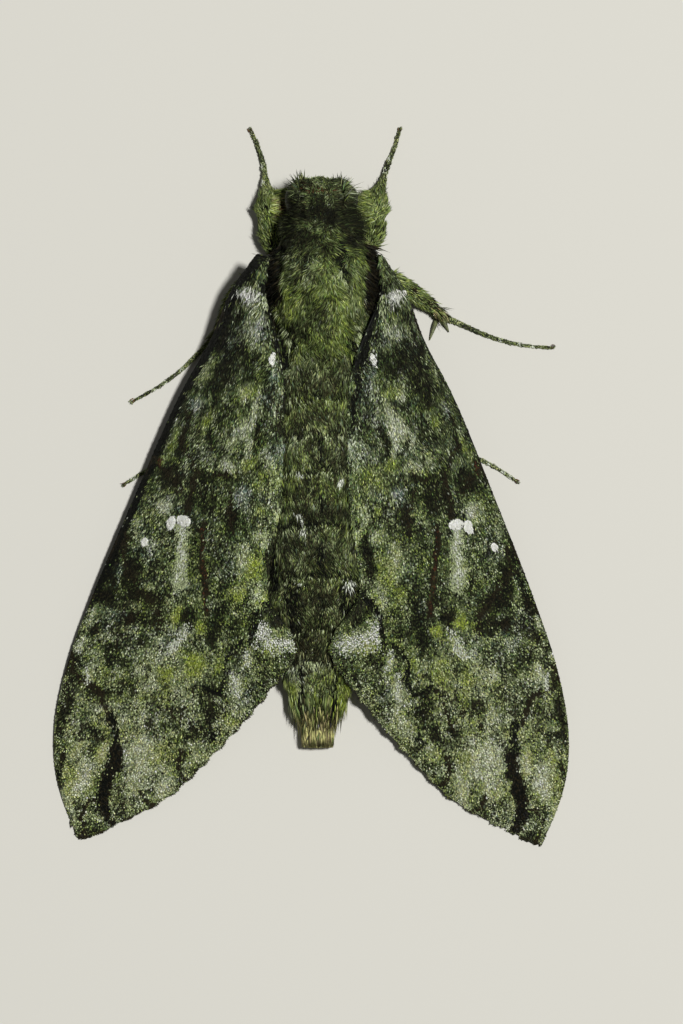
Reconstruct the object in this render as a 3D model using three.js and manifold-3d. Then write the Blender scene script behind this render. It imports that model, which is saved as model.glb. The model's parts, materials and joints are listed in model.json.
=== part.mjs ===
// A green hawk moth at rest, life size, in millimetres.
// +Y points out of the head, +X to the moth's right, +Z up, and the floor is Z = 0.
// Every solid reaches the tips of its coat. Neighbouring solids keep a thin gap.

import * as THREE from 'three';
import * as BufferGeometryUtils from 'three/addons/utils/BufferGeometryUtils.js';
import Module from 'manifold-3d';

const wasm = await Module();
wasm.setup();

// ---------------------------------------------------------------- driving dimensions

const GAP = 0.3;                       // between neighbouring solids

// The trunk, from tail to face: [Y, half width, top Z, bottom Z]
const TRUNK = [
  [-23.2, 1.65, 3.0, 0.55],
  [-21.0, 1.80, 3.4, 0.55],
  [-19.6, 2.30, 3.9, 0.55],
  [-18.2, 3.05, 4.4, 0.60],
  [-16.6, 3.40, 5.1, 0.70],
  [-14.0, 4.45, 6.3, 0.80],
  [-11.0, 5.20, 7.5, 0.90],
  [-7.0, 5.45, 8.6, 1.0],
  [0.0, 5.50, 9.5, 1.3],
  [6.0, 5.35, 10.0, 1.9],
  [10.5, 4.60, 10.4, 2.6],
  [13.0, 4.62, 11.5, 2.5],
  [16.5, 4.65, 12.5, 2.5],
  [19.0, 4.50, 12.1, 2.9],
  [20.6, 4.15, 11.3, 3.2],
  [21.6, 3.60, 10.6, 3.5],
  [22.5, 3.05, 10.0, 3.8],
  [23.3, 2.70, 9.6, 4.0],
  [24.0, 2.68, 9.4, 4.0],
  [24.9, 2.78, 9.2, 4.0],
  [25.8, 2.50, 8.9, 4.4],
  [26.5, 1.95, 8.5, 5.2],
  [26.9, 1.25, 7.9, 6.0],
  [27.1, 0.50, 7.3, 6.7],
];
const NECK_Y = 23.3;                   // head from thorax
const WAIST_Y = 10.5;                  // thorax from abdomen
const RUMP_Y = -20.4;                  // abdomen from the tail brush
const TRUNK_SIDES = 20;
const TRUNK_STEPS = { head: 9, thorax: 12, abdomen: 18, tail: 4 };

// The moth sits with its thorax a little to the right of its head and tail: [Y, X of the midline]
const BEND = [[-23.2, 0.0], [-8.0, 0.15], [8.0, 0.35], [17.0, 0.55], [20.5, 0.6], [23.5, 0.45], [27.1, 0.2]];

// Eyes, to each side of the midline
const EYE = { x: 2.35, y: 24.95, z: 6.1, bulge: 1.0, radius: 1.45 };
const EYE_FACETS = { round: 12, down: 8 };

// Forewing in its own plane: station S runs from the hinge to the apex and T runs inwards.
const FOREWING_THICKNESS = 0.6;
const FOREWING_STEPS = { across: 6, along: 52 };
const FOREWING_ROOT_S = -3.3;
const FOREWING_TIP_S = 50.7;
const FRONT_EDGE_T = [
  [-3.3, 0.4], [-2.0, -0.1], [0, -0.85], [5, -1.5], [10, -2.7], [20, -4.1],
  [30, -5.3], [36, -5.7], [42, -5.2], [46, -3.8], [49, -1.8], [50.7, -0.25],
];
const HIND_EDGE_T = [
  [-3.3, 1.6], [-2.0, 1.85], [0, 2.2], [2.5, 3.8], [6.2, 5.9], [10, 7.0], [17, 8.7], [22, 9.3],
  [25.4, 10.1], [27, 12.0], [28.2, 13.25], [29.6, 13.6], [31.6, 13.0], [34.5, 11.9],
  [38.9, 9.8], [42, 8.2], [45, 6.3], [48.9, 2.2], [50.7, 0.15],
];
const FRONT_EDGE_Z = [
  [-3.3, 8.0], [0, 6.7], [5, 4.7], [10, 3.5], [20, 2.4], [30, 1.55], [38, 0.75], [44, 0.25], [50.7, 0.2],
];
const HIND_EDGE_Z = [
  [-3.3, 8.6], [0, 9.2], [5, 10.2], [10, 9.8], [17, 9.3], [22, 8.4], [25.4, 7.4], [28.5, 6.6],
  [31.6, 4.8], [34.5, 3.2], [38.9, 1.7], [44, 0.8], [48, 0.3], [50.7, 0.2],
];
const CAMBER = [[-3.3, 0.1], [3, 0.9], [12, 1.5], [24, 1.3], [36, 0.9], [44, 0.4], [48.5, 0], [50.7, 0]];
const SCALLOP = { from: 33, to: 50, waves: 7, depth: 0.22 };
// Beside the thorax the right wing is narrower, because the thorax lies towards it.
const ROOT_TRIM = { from: 1, to: 8 };
const FOREWINGS = [
  { name: 'forewing_left', inward: 1, x: -6.55, y: 17.3, turn: -16.5, trim: 0 },
  { name: 'forewing_right', inward: -1, x: 6.75, y: 17.2, turn: 14.6, trim: 0.9 },
];

// Hindwing, folded flat under the forewing, in the same S and T.
const HINDWING_THICKNESS = 0.5;
const HINDWING_STEPS = { across: 5, along: 18 };
const HINDWING_FRONT_T = [[4, 1.0], [8, -0.2], [14, -1.6], [20, -2.4], [26, -2.3], [30, -0.6], [31.5, 1.2]];
const HINDWING_HIND_T = [
  [4, 1.6], [8, 2.7], [14, 4.3], [20, 6.0],
  [25, 7.4], [28, 7.2], [30, 5.2], [31.5, 1.8],
];

// Legs: [X, Y, Z, radius] along each length, with the fringe of scales included. A tibia starts where
// its femur ends, and a tarsus where its tibia ends.
const LEGS = {
  foreleg_right: {
    femur: [[2.3, 19.8, 2.4, 0.6], [3.9, 20.9, 2.2, 1.0], [4.85, 22.1, 2.3, 1.15], [5.05, 23.2, 2.3, 1.1]],
    tibia: [[4.85, 24.2, 2.3, 1.6], [5.05, 25.0, 2.2, 1.3], [5.45, 26.0, 1.7, 0.64], [5.95, 27.6, 1.0, 0.42]],
    tarsus: [[6.2, 28.4, 0.62, 0.35], [6.85, 30.1, 0.22, 0.31], [7.3, 31.75, 0.2, 0.28]],
  },
  foreleg_left: {
    femur: [
      [-1.6, 19.8, 2.55, 0.6], [-3.4, 20.9, 2.2, 1.0],
      [-4.15, 22.1, 2.3, 1.15], [-4.2, 23.2, 2.3, 1.1],
    ],
    tibia: [
      [-4.05, 24.2, 2.3, 1.6], [-4.2, 25.0, 2.2, 1.3],
      [-4.5, 26.0, 1.7, 0.64], [-4.65, 27.6, 1.0, 0.42],
    ],
    tarsus: [[-4.8, 28.4, 0.62, 0.35], [-5.35, 30.1, 0.22, 0.31], [-6.05, 31.7, 0.2, 0.28]],
  },
  midleg_right: {
    femur: [[1.7, 15.5, 1.74, 0.6], [3.2, 16.9, 1.7, 0.75], [4.9, 18.3, 1.9, 0.75], [6.1, 18.8, 2.1, 0.45]],
    tibia: [[7.0, 18.15, 2.1, 0.66], [8.2, 17.2, 1.8, 0.8], [9.6, 16.15, 1.3, 0.7], [11.0, 15.1, 0.8, 0.42]],
    tarsus: [
      [12.3, 14.45, 0.35, 0.37], [16.0, 12.95, 0.22, 0.3],
      [18.6, 12.4, 0.2, 0.26], [21.0, 12.25, 0.2, 0.26],
    ],
  },
  midleg_left: {
    femur: [
      [-1.7, 15.5, 2.05, 0.6], [-3.2, 16.9, 1.7, 0.75],
      [-4.9, 18.3, 1.9, 0.75], [-6.0, 18.6, 2.1, 0.45],
    ],
    tibia: [
      [-6.6, 17.8, 2.1, 0.66], [-7.2, 16.8, 1.8, 0.75],
      [-7.9, 15.6, 1.3, 0.65], [-8.7, 14.0, 0.8, 0.42],
    ],
    tarsus: [
      [-9.5, 12.9, 0.35, 0.37], [-11.9, 10.4, 0.22, 0.3],
      [-14.4, 8.6, 0.2, 0.26], [-16.55, 7.4, 0.2, 0.26],
    ],
  },
  hindleg_right: {
    femur: [[1.7, 12.1, 1.85, 0.6], [2.9, 11.0, 1.4, 0.68], [4.3, 9.8, 1.4, 0.68], [5.4, 8.9, 1.4, 0.45]],
    tibia: [[6.2, 8.3, 1.4, 0.6], [7.6, 7.0, 1.3, 0.68], [9.2, 5.4, 1.05, 0.6], [10.8, 3.9, 0.7, 0.4]],
    tarsus: [[12.2, 3.2, 0.34, 0.35], [14.9, 2.1, 0.22, 0.29], [17.8, 0.3, 0.2, 0.26]],
  },
  hindleg_left: {
    femur: [[-1.7, 12.1, 2.1, 0.6], [-2.9, 11.0, 1.4, 0.68], [-4.3, 9.7, 1.4, 0.68], [-5.5, 8.7, 1.4, 0.45]],
    tibia: [[-6.3, 8.0, 1.4, 0.6], [-7.7, 6.6, 1.3, 0.68], [-9.4, 4.8, 1.05, 0.6], [-11.1, 3.2, 0.7, 0.4]],
    tarsus: [[-12.6, 2.4, 0.34, 0.35], [-15.1, 1.4, 0.22, 0.29], [-17.3, 0.0, 0.2, 0.26]],
  },
};
const LEG_SIDES = { femur: 8, tibia: 8, tarsus: 6 };
const LEG_STEPS = { femur: 6, tibia: 7, tarsus: 12 };
const LEG_CUTS = { femur: [0, GAP], tibia: [GAP, GAP / 2], tarsus: [GAP / 2, 0] };

// Feelers, folded back over the eye and into a groove of the neck, then under the wing. X is from the
// midline. The socket is the start of the groove, in the head.
const ANTENNA_SOCKET = [1.3, 25.85, 8.9, 0.34];
const ANTENNA = [
  [1.6, 25.6, 8.8, 0.34], [2.25, 25.1, 8.5, 0.35], [2.65, 24.35, 8.0, 0.35], [2.8, 23.5, 7.0, 0.35],
  [3.05, 22.6, 5.9, 0.35], [3.55, 21.6, 5.0, 0.35], [4.15, 20.2, 4.55, 0.35], [4.35, 18.6, 4.3, 0.34],
  [4.75, 15.0, 4.15, 0.32], [4.9, 11.0, 3.9, 0.29], [5.1, 7.4, 3.5, 0.26],
];
const ANTENNA_SIDES = 6;
const ANTENNA_STEPS = 20;
const GROOVE_STEPS = 14;
const PALP_SIDES = 8;
const PALP_STEPS = 6;
const PALP = [
  [1.3, 24.6, 3.0, 0.4], [1.35, 25.8, 2.9, 0.62],
  [1.25, 26.6, 3.7, 0.62], [1.1, 26.8, 4.9, 0.34],
];
const TONGUE_COIL = { y: 25.7, z: 2.3, radius: 1.3, halfWidth: 0.28, bevel: 0.12, sides: 20 };

// ---------------------------------------------------------------- materials

function finish(colour, roughness) {
  return () => new THREE.MeshStandardMaterial({ color: colour, roughness, metalness: 0 });
}

const mossFur = finish(0x57602f, 0.9);
const leafScales = finish(0x5f6848, 0.85);
const greyScales = finish(0x6c6a5a, 0.85);
const legScales = finish(0x4c5230, 0.85);
const eyeLens = finish(0x17140e, 0.2);
const feelerShaft = finish(0x8c9262, 0.7);
const tongueHorn = finish(0x5a3d20, 0.4);

// ---------------------------------------------------------------- shaping helpers

// A smooth curve through rows of [where, value, value ...]
function smoothRows(rows) {
  const width = rows[0].length - 1;
  const places = rows.map((row) => row[0]);
  const values = rows.flatMap((row) => row.slice(1));
  const curve = new THREE.CubicInterpolant(places, values, width);
  return (where) => Array.from(curve.evaluate(where));
}

function smoothValue(rows) {
  const curve = smoothRows(rows);
  return (where) => curve(where)[0];
}

// Moves every point of a closed geometry, and joins the points that its faces share.
function reshape(geometry, place) {
  const points = geometry.attributes.position;
  const point = new THREE.Vector3();
  for (let i = 0; i < points.count; i += 1) {
    point.fromBufferAttribute(points, i);
    place(point);
    points.setXYZ(i, point.x, point.y, point.z);
  }
  geometry.deleteAttribute('normal');
  geometry.deleteAttribute('uv');
  const joined = BufferGeometryUtils.mergeVertices(geometry, 1e-4);
  joined.computeVertexNormals();
  return joined;
}

function addMesh(parent, name, geometry, makeMaterial) {
  const mesh = new THREE.Mesh(geometry, makeMaterial());
  mesh.name = name;
  parent.add(mesh);
  return mesh;
}

function toSolid(geometry) {
  const vertProperties = new Float32Array(geometry.attributes.position.array);
  const triVerts = new Uint32Array(geometry.index.array);
  return new wasm.Manifold(new wasm.Mesh({ numProp: 3, vertProperties, triVerts }));
}

function toGeometry(solid) {
  const mesh = solid.getMesh();
  const geometry = new THREE.BufferGeometry();
  geometry.setAttribute('position', new THREE.BufferAttribute(new Float32Array(mesh.vertProperties), 3));
  geometry.setIndex(new THREE.BufferAttribute(new Uint32Array(mesh.triVerts), 1));
  geometry.computeVertexNormals();
  return geometry;
}

// ---------------------------------------------------------------- trunk

const trunkAt = smoothRows(TRUNK);
const midlineX = smoothValue(BEND);

// A length of the trunk: oval sections between two cuts across the body.
function trunkLength(fromY, toY, steps) {
  const barrel = new THREE.CylinderGeometry(1, 1, 1, TRUNK_SIDES, steps);
  return reshape(barrel, (point) => {
    const y = THREE.MathUtils.lerp(fromY, toY, point.y + 0.5);
    const [halfWidth, top, bottom] = trunkAt(y);
    point.x = midlineX(y) + point.x * halfWidth;
    point.z = (top + bottom) / 2 + point.z * (top - bottom) / 2;
    point.y = y;
  });
}

// Height of the trunk's back over a point of the floor, or -Infinity beside the trunk.
function backHeight(x, y) {
  const [halfWidth, top, bottom] = trunkAt(y);
  const across = Math.abs(x - midlineX(y)) / halfWidth;
  if (across >= 1) return -Infinity;
  return (top + bottom) / 2 + Math.sqrt(1 - across * across) * (top - bottom) / 2;
}

function eyeball(side, grow) {
  const ball = new THREE.SphereGeometry(1, EYE_FACETS.round, EYE_FACETS.down);
  return reshape(ball, (point) => {
    point.x = midlineX(EYE.y) + side * EYE.x + point.x * (EYE.bulge + grow);
    point.y = EYE.y + point.y * (EYE.radius + grow);
    point.z = EYE.z + point.z * (EYE.radius + grow);
  });
}

// Rows given from the midline, placed on one side of it.
function besideMidline(side, rows) {
  return rows.map(([x, y, z, radius]) => [midlineX(y) + side * x, y, z, radius]);
}

// Cuts the grooves of both feelers into a length of the trunk.
function groove(solid) {
  let cut = solid;
  for (const side of [-1, 1]) {
    const rows = besideMidline(side, [ANTENNA_SOCKET, ...ANTENNA]);
    const wide = rows.map(([x, y, z, radius]) => [x, y, z, radius + GAP]);
    cut = cut.subtract(toSolid(limb(wide, ANTENNA_SIDES, GROOVE_STEPS)));
  }
  return cut;
}

// The largest of the pieces that the cuts leave.
function mainPiece(solid) {
  return solid.decompose().sort((a, b) => b.volume() - a.volume())[0];
}

function makeHead(parent) {
  const firstY = TRUNK[TRUNK.length - 1][0];
  let skull = groove(toSolid(trunkLength(NECK_Y + GAP / 2, firstY, TRUNK_STEPS.head)));
  for (const side of [-1, 1]) {
    skull = skull.subtract(toSolid(eyeball(side, GAP)));
  }
  addMesh(parent, 'head', toGeometry(mainPiece(skull)), mossFur);
  addMesh(parent, 'eye_left', eyeball(-1, 0), eyeLens);
  addMesh(parent, 'eye_right', eyeball(1, 0), eyeLens);
}

function makeTrunk(parent) {
  const lastY = TRUNK[0][0];
  const halfGap = GAP / 2;
  const chest = groove(toSolid(trunkLength(WAIST_Y + halfGap, NECK_Y - halfGap, TRUNK_STEPS.thorax)));
  addMesh(parent, 'thorax', toGeometry(chest), mossFur);
  const rump = trunkLength(RUMP_Y + halfGap, WAIST_Y - halfGap, TRUNK_STEPS.abdomen);
  addMesh(parent, 'abdomen', rump, leafScales);
  addMesh(parent, 'tail_brush', trunkLength(lastY, RUMP_Y - halfGap, TRUNK_STEPS.tail), leafScales);
}

// ---------------------------------------------------------------- wings

const frontT = smoothValue(FRONT_EDGE_T);
const hindT = smoothValue(HIND_EDGE_T);
const frontZ = smoothValue(FRONT_EDGE_Z);
const hindZ = smoothValue(HIND_EDGE_Z);
const camber = smoothValue(CAMBER);

// The outer margin dips a little between the veins.
function scallop(s) {
  if (s < SCALLOP.from || s > SCALLOP.to) return 0;
  const wave = (s - SCALLOP.from) / (SCALLOP.to - SCALLOP.from) * SCALLOP.waves;
  return SCALLOP.depth * (1 - Math.abs(Math.sin(Math.PI * wave)));
}

// Height of the forewing's middle layer: a low roof with a rounded back.
function roofHeight(s, t) {
  const across = (t - frontT(s)) / (hindT(s) - frontT(s));
  const v = THREE.MathUtils.clamp(across, 0, 1);
  return THREE.MathUtils.lerp(frontZ(s), hindZ(s), v) + camber(s) * 4 * v * (1 - v);
}

// Where a station of a wing lies over the floor, in the moth's frame.
function overFloor(wing, s, t) {
  const spot = new THREE.Vector2(wing.inward * t, -s);
  spot.rotateAround(new THREE.Vector2(0, 0), THREE.MathUtils.degToRad(wing.turn));
  return spot.add(new THREE.Vector2(wing.x, wing.y));
}

// The wing rests on the trunk wherever its roof would dip into it.
function forewingHeight(wing, s, t) {
  const spot = overFloor(wing, s, t);
  const rest = backHeight(spot.x, spot.y) + GAP + FOREWING_THICKNESS / 2;
  return Math.max(roofHeight(s, t), rest);
}

// A thin sheet between two edges, from a slab whose length, breadth and depth follow S, T and height.
function wingSheet(wing, span, edges, thickness, height, steps) {
  const slab = new THREE.BoxGeometry(1, 1, 1, steps.across, steps.along, 1);
  return reshape(slab, (point) => {
    const s = THREE.MathUtils.lerp(span[0], span[1], 0.5 - point.y);
    const across = 0.5 + point.x * wing.inward;
    const t = THREE.MathUtils.lerp(edges[0](s), edges[1](s), across);
    const z = height(s, t) + point.z * thickness;
    point.set(wing.inward * t, -s, Math.max(z, 0));
  });
}

function makeWing(parent, wing, name, geometry, material) {
  const mesh = addMesh(parent, name, geometry, material);
  mesh.position.set(wing.x, wing.y, 0);
  mesh.rotation.z = THREE.MathUtils.degToRad(wing.turn);
}

function makeForewing(parent, wing) {
  const span = [FOREWING_ROOT_S, FOREWING_TIP_S];
  const trim = (s) => wing.trim * (1 - THREE.MathUtils.smoothstep(s, ROOT_TRIM.from, ROOT_TRIM.to));
  const edges = [frontT, (s) => hindT(s) - scallop(s) - trim(s)];
  const height = (s, t) => forewingHeight(wing, s, t);
  const sheet = wingSheet(wing, span, edges, FOREWING_THICKNESS, height, FOREWING_STEPS);
  makeWing(parent, wing, wing.name, sheet, leafScales);
}

function makeHindwing(parent, wing) {
  const span = [HINDWING_FRONT_T[0][0], HINDWING_FRONT_T[HINDWING_FRONT_T.length - 1][0]];
  const edges = [smoothValue(HINDWING_FRONT_T), smoothValue(HINDWING_HIND_T)];
  const drop = (FOREWING_THICKNESS + HINDWING_THICKNESS) / 2 + GAP;
  const height = (s, t) => roofHeight(s, t) - drop;
  const sheet = wingSheet(wing, span, edges, HINDWING_THICKNESS, height, HINDWING_STEPS);
  makeWing(parent, wing, wing.name.replace('forewing', 'hindwing'), sheet, greyScales);
}

// ---------------------------------------------------------------- limbs

// A round limb along a smooth path of [X, Y, Z, radius], cut short at both ends by the joint's gap. One
// flat side faces down, and it is pressed level where it meets the floor.
function limb(rows, sides, steps, cutStart = 0, cutEnd = 0) {
  const path = new THREE.CatmullRomCurve3(rows.map((row) => new THREE.Vector3(row[0], row[1], row[2])));
  const radius = smoothValue(rows.map((row, i) => [i / (rows.length - 1), row[3]]));
  const from = cutStart / path.getLength();
  const to = 1 - cutEnd / path.getLength();
  const floorNormal = new THREE.Vector3(0, 0, 1);
  const rod = new THREE.CylinderGeometry(1, 1, 1, sides, steps, false, Math.PI / sides);
  return reshape(rod, (point) => {
    const along = THREE.MathUtils.lerp(from, to, point.y + 0.5);
    const reach = radius(path.getUtoTmapping(along));
    const ahead = path.getTangentAt(along);
    const right = new THREE.Vector3().crossVectors(ahead, floorNormal).normalize();
    const up = new THREE.Vector3().crossVectors(right, ahead);
    const centre = path.getPointAt(along);
    centre.addScaledVector(right, point.x * reach).addScaledVector(up, point.z * reach);
    point.set(centre.x, centre.y, Math.max(centre.z, 0));
  });
}

function makeLegs(parent) {
  for (const [leg, lengths] of Object.entries(LEGS)) {
    let joint = [];
    for (const [length, rows] of Object.entries(lengths)) {
      const [cutStart, cutEnd] = LEG_CUTS[length];
      const geometry = limb([...joint, ...rows], LEG_SIDES[length], LEG_STEPS[length], cutStart, cutEnd);
      addMesh(parent, `${leg}_${length}`, geometry, legScales);
      joint = rows.slice(-1);
    }
  }
}

function makeMouth(parent) {
  addMesh(parent, 'palp_left', limb(besideMidline(-1, PALP), PALP_SIDES, PALP_STEPS), mossFur);
  addMesh(parent, 'palp_right', limb(besideMidline(1, PALP), PALP_SIDES, PALP_STEPS), mossFur);
  const { radius, halfWidth, bevel, sides } = TONGUE_COIL;
  const profile = [
    new THREE.Vector2(0, -halfWidth),
    new THREE.Vector2(radius - bevel, -halfWidth),
    new THREE.Vector2(radius, -halfWidth + bevel),
    new THREE.Vector2(radius, halfWidth - bevel),
    new THREE.Vector2(radius - bevel, halfWidth),
    new THREE.Vector2(0, halfWidth),
  ];
  const coil = reshape(new THREE.LatheGeometry(profile, sides), () => {});
  const tongue = addMesh(parent, 'tongue_coil', coil, tongueHorn);
  tongue.position.set(midlineX(TONGUE_COIL.y), TONGUE_COIL.y, TONGUE_COIL.z);
  tongue.rotation.z = Math.PI / 2;
}

function makeFeelers(parent) {
  for (const [name, side] of [['antenna_left', -1], ['antenna_right', 1]]) {
    addMesh(parent, name, limb(besideMidline(side, ANTENNA), ANTENNA_SIDES, ANTENNA_STEPS), feelerShaft);
  }
}

// ---------------------------------------------------------------- the moth

const trunk = new THREE.Group();
makeHead(trunk);
makeTrunk(trunk);
makeMouth(trunk);
makeFeelers(trunk);

const wings = new THREE.Group();
for (const wing of FOREWINGS) {
  makeForewing(wings, wing);
  makeHindwing(wings, wing);
}

const legs = new THREE.Group();
makeLegs(legs);

const moth = new THREE.Group();
moth.add(trunk, wings, legs);

// The origin is the middle of the moth's box, on the floor.
const box = new THREE.Box3().setFromObject(moth, true);
moth.position.set(-(box.min.x + box.max.x) / 2, -(box.min.y + box.max.y) / 2, -box.min.z);

export default moth;
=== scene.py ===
import json
import math

import bmesh
import bpy
import numpy as np
from mathutils import Matrix, Vector
from mathutils.bvhtree import BVHTree
from mathutils.kdtree import KDTree

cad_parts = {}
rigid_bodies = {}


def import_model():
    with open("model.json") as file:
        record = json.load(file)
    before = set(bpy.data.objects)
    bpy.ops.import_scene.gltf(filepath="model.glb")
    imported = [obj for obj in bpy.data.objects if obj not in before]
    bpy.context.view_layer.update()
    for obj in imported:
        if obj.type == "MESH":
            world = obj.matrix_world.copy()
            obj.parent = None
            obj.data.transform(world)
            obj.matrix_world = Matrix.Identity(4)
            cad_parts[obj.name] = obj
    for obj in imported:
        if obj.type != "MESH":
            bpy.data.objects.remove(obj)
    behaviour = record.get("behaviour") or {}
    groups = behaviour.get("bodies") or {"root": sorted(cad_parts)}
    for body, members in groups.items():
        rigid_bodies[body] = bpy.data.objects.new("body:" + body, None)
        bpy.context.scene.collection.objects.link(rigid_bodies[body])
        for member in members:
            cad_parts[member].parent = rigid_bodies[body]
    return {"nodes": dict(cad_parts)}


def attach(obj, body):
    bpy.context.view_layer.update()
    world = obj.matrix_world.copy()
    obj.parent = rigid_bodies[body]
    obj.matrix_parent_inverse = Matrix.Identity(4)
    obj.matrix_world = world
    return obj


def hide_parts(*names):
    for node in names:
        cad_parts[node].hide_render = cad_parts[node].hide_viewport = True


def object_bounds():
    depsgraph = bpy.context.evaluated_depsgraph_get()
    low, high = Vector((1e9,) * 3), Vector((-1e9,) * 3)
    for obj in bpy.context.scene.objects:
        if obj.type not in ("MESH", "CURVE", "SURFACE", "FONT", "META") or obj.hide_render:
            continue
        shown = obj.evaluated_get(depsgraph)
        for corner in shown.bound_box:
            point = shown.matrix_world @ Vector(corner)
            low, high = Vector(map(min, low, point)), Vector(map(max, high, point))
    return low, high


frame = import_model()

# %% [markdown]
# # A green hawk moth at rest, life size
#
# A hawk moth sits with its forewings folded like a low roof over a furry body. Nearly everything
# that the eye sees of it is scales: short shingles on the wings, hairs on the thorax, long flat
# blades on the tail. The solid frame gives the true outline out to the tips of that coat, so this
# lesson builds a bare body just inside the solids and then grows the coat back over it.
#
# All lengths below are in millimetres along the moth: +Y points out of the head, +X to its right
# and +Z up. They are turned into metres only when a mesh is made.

MM = 0.001
solid_low, solid_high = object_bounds()
# The frame's origin is the middle of the moth's box. Along the moth's own axes that middle is here:
BOX_MIDDLE = np.array([-0.5673, -0.0385, 0.0])
print("solid box in mm:", [round(v / MM, 2) for v in (*solid_low, *solid_high)])


def to_moth(points):
    """Metres in the frame to millimetres along the moth."""
    return np.asarray(points, float) / MM + BOX_MIDDLE


def to_frame(points):
    """Millimetres along the moth to metres in the frame."""
    return (np.asarray(points, float) - BOX_MIDDLE) * MM


def mesh_points(mesh):
    """Every vertex of a mesh, in millimetres along the moth."""
    co = np.zeros(len(mesh.vertices) * 3)
    mesh.vertices.foreach_get("co", co)
    return to_moth(co.reshape(-1, 3))


def add_object(name, data):
    """A new object at the origin that holds this mesh, lamp or camera."""
    piece = bpy.data.objects.new(name, data)
    bpy.context.scene.collection.objects.link(piece)
    return piece


def merged_nodes(*names):
    """One bmesh with copies of these solids, their split corners joined up again."""
    bm = bmesh.new()
    for name in names:
        bm.from_mesh(frame["nodes"][name].data)
    bmesh.ops.remove_doubles(bm, verts=bm.verts, dist=0.001 * MM)
    bmesh.ops.recalc_face_normals(bm, faces=bm.faces)
    return bm


def search_tree(*names):
    """A tree for finding the nearest place on these solids."""
    bm = merged_nodes(*names)
    tree = BVHTree.FromBMesh(bm)
    bm.free()
    return tree


def new_mesh(name, bm):
    """A mesh from a bmesh, which is then let go."""
    mesh = bpy.data.meshes.new(name)
    bm.to_mesh(mesh)
    bm.free()
    return mesh


def store_pigment(mesh, colours):
    """Gives each vertex of a mesh its linear colour."""
    tint = mesh.color_attributes.new("pigment", "FLOAT_COLOR", "POINT")
    rgba = np.ones((len(mesh.vertices), 4))
    rgba[:, :3] = colours
    tint.data.foreach_set("color", rgba.ravel().astype(np.float32))


def baked(piece):
    """The mesh of an object with its modifiers applied."""
    bpy.context.view_layer.update()
    graph = bpy.context.evaluated_depsgraph_get()
    return bpy.data.meshes.new_from_object(piece.evaluated_get(graph))


# %% [markdown]
# ## Where things are on a wing
#
# A forewing lies turned by a few degrees and slopes like a roof, so its markings are easiest to
# give in the wing's own plan: station S runs from the hinge to the tip and T runs inwards, from
# the front edge towards the body. The two wings mirror one another.

# %% Wing plan
WINGS = {
    "left": {
        "x": -6.55, "y": 17.3, "turn": math.radians(-16.5), "inward": 1, "drift": (0.0, 0.0),
    },
    "right": {
        "x": 6.75, "y": 17.2, "turn": math.radians(14.6), "inward": -1, "drift": (0.3, -0.85),
    },
}


def wing_plan(side, points):
    """S and T of each point, seen from straight above."""
    w = WINGS[side]
    dx = points[:, 0] - w["x"]
    dy = points[:, 1] - w["y"]
    s = dx * math.sin(w["turn"]) - dy * math.cos(w["turn"])
    t = (dx * math.cos(w["turn"]) + dy * math.sin(w["turn"])) * w["inward"]
    return s, t


def wing_place(side, s, t):
    """X and Y of each S and T."""
    w = WINGS[side]
    x = w["x"] + w["inward"] * t * math.cos(w["turn"]) + s * math.sin(w["turn"])
    y = w["y"] + w["inward"] * t * math.sin(w["turn"]) - s * math.cos(w["turn"])
    return x, y


# The thorax lies a little to the right of the head and tail: Y, X of the midline
BEND = [
    (-23.2, 0.0), (-8.0, 0.15), (8.0, 0.35), (17.0, 0.55), (20.5, 0.6), (23.5, 0.45), (27.1, 0.2),
]


def midline(y):
    """X of the middle of the body at each Y."""
    return np.interp(y, *zip(*BEND))


# %% [markdown]
# ## Pigments
#
# Each scale has one flat colour. What looks like an olive wing is a mix of near black, moss,
# sage, yellow-green and whitish scales, and a marking is a place where one of them takes over.
# So the colours are kept as a short list of pigments, each with its usual share and with how
# light, green, brown or frosty it is. A place that is a bit lighter or greener then only shifts
# the odds, and the speckle comes by itself. Neighbouring scales differ more in lightness than in
# hue, so each takes most of its hue, and part of its lightness, from the average of its place.

# %% Pigments and mixing
def linear(code):
    """A colour written as six hex digits, as linear red, green and blue."""
    parts = [int(code[i:i + 2], 16) / 255 for i in (0, 2, 4)]
    return tuple(c / 12.92 if c <= 0.04045 else ((c + 0.055) / 1.055) ** 2.4 for c in parts)


# name: colour, usual share, light, lime, brown, frost
PIGMENTS = {
    "black": ("0f110a", 0.13, -1.7, -0.4, 0.0, 0.0),
    "umber": ("2a2516", 0.11, -1.3, -0.5, 1.2, 0.0),
    "bottle": ("333f1e", 0.20, -0.8, 0.3, -0.5, 0.0),
    "moss": ("5c6c38", 0.22, -0.1, 0.6, -0.5, 0.0),
    "sage": ("889668", 0.17, 0.6, 0.0, 0.0, 0.2),
    "lichen": ("b8c296", 0.10, 1.2, 0.0, 0.0, 0.5),
    "frost": ("e0e4d4", 0.03, 1.7, -0.6, 0.0, 1.2),
    "lilac": ("a9a6b0", 0.02, 0.8, -1.0, 0.0, 1.6),
    "teal": ("4d6b5c", 0.03, -0.2, -0.7, -0.8, 1.8),
    "fern": ("4c7434", 0.05, 0.0, 0.9, -1.4, 0.5),
    "lime": ("92a336", 0.07, 0.6, 1.7, -0.4, -0.8),
    "straw": ("c0bd7c", 0.04, 1.3, 0.5, 0.5, -0.4),
    "rust": ("54301f", 0.0, -0.6, 0.0, 1.5, 0.0),
    "sand": ("9a8f66", 0.0, 0.6, 0.0, 1.0, 0.0),
    "white": ("fafaf0", 0.0, 2.0, 0.0, 0.0, 1.0),
}
PIGMENT_NAMES = list(PIGMENTS)
PIGMENT_COLOURS = np.array([linear(PIGMENTS[n][0]) for n in PIGMENT_NAMES])
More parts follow.
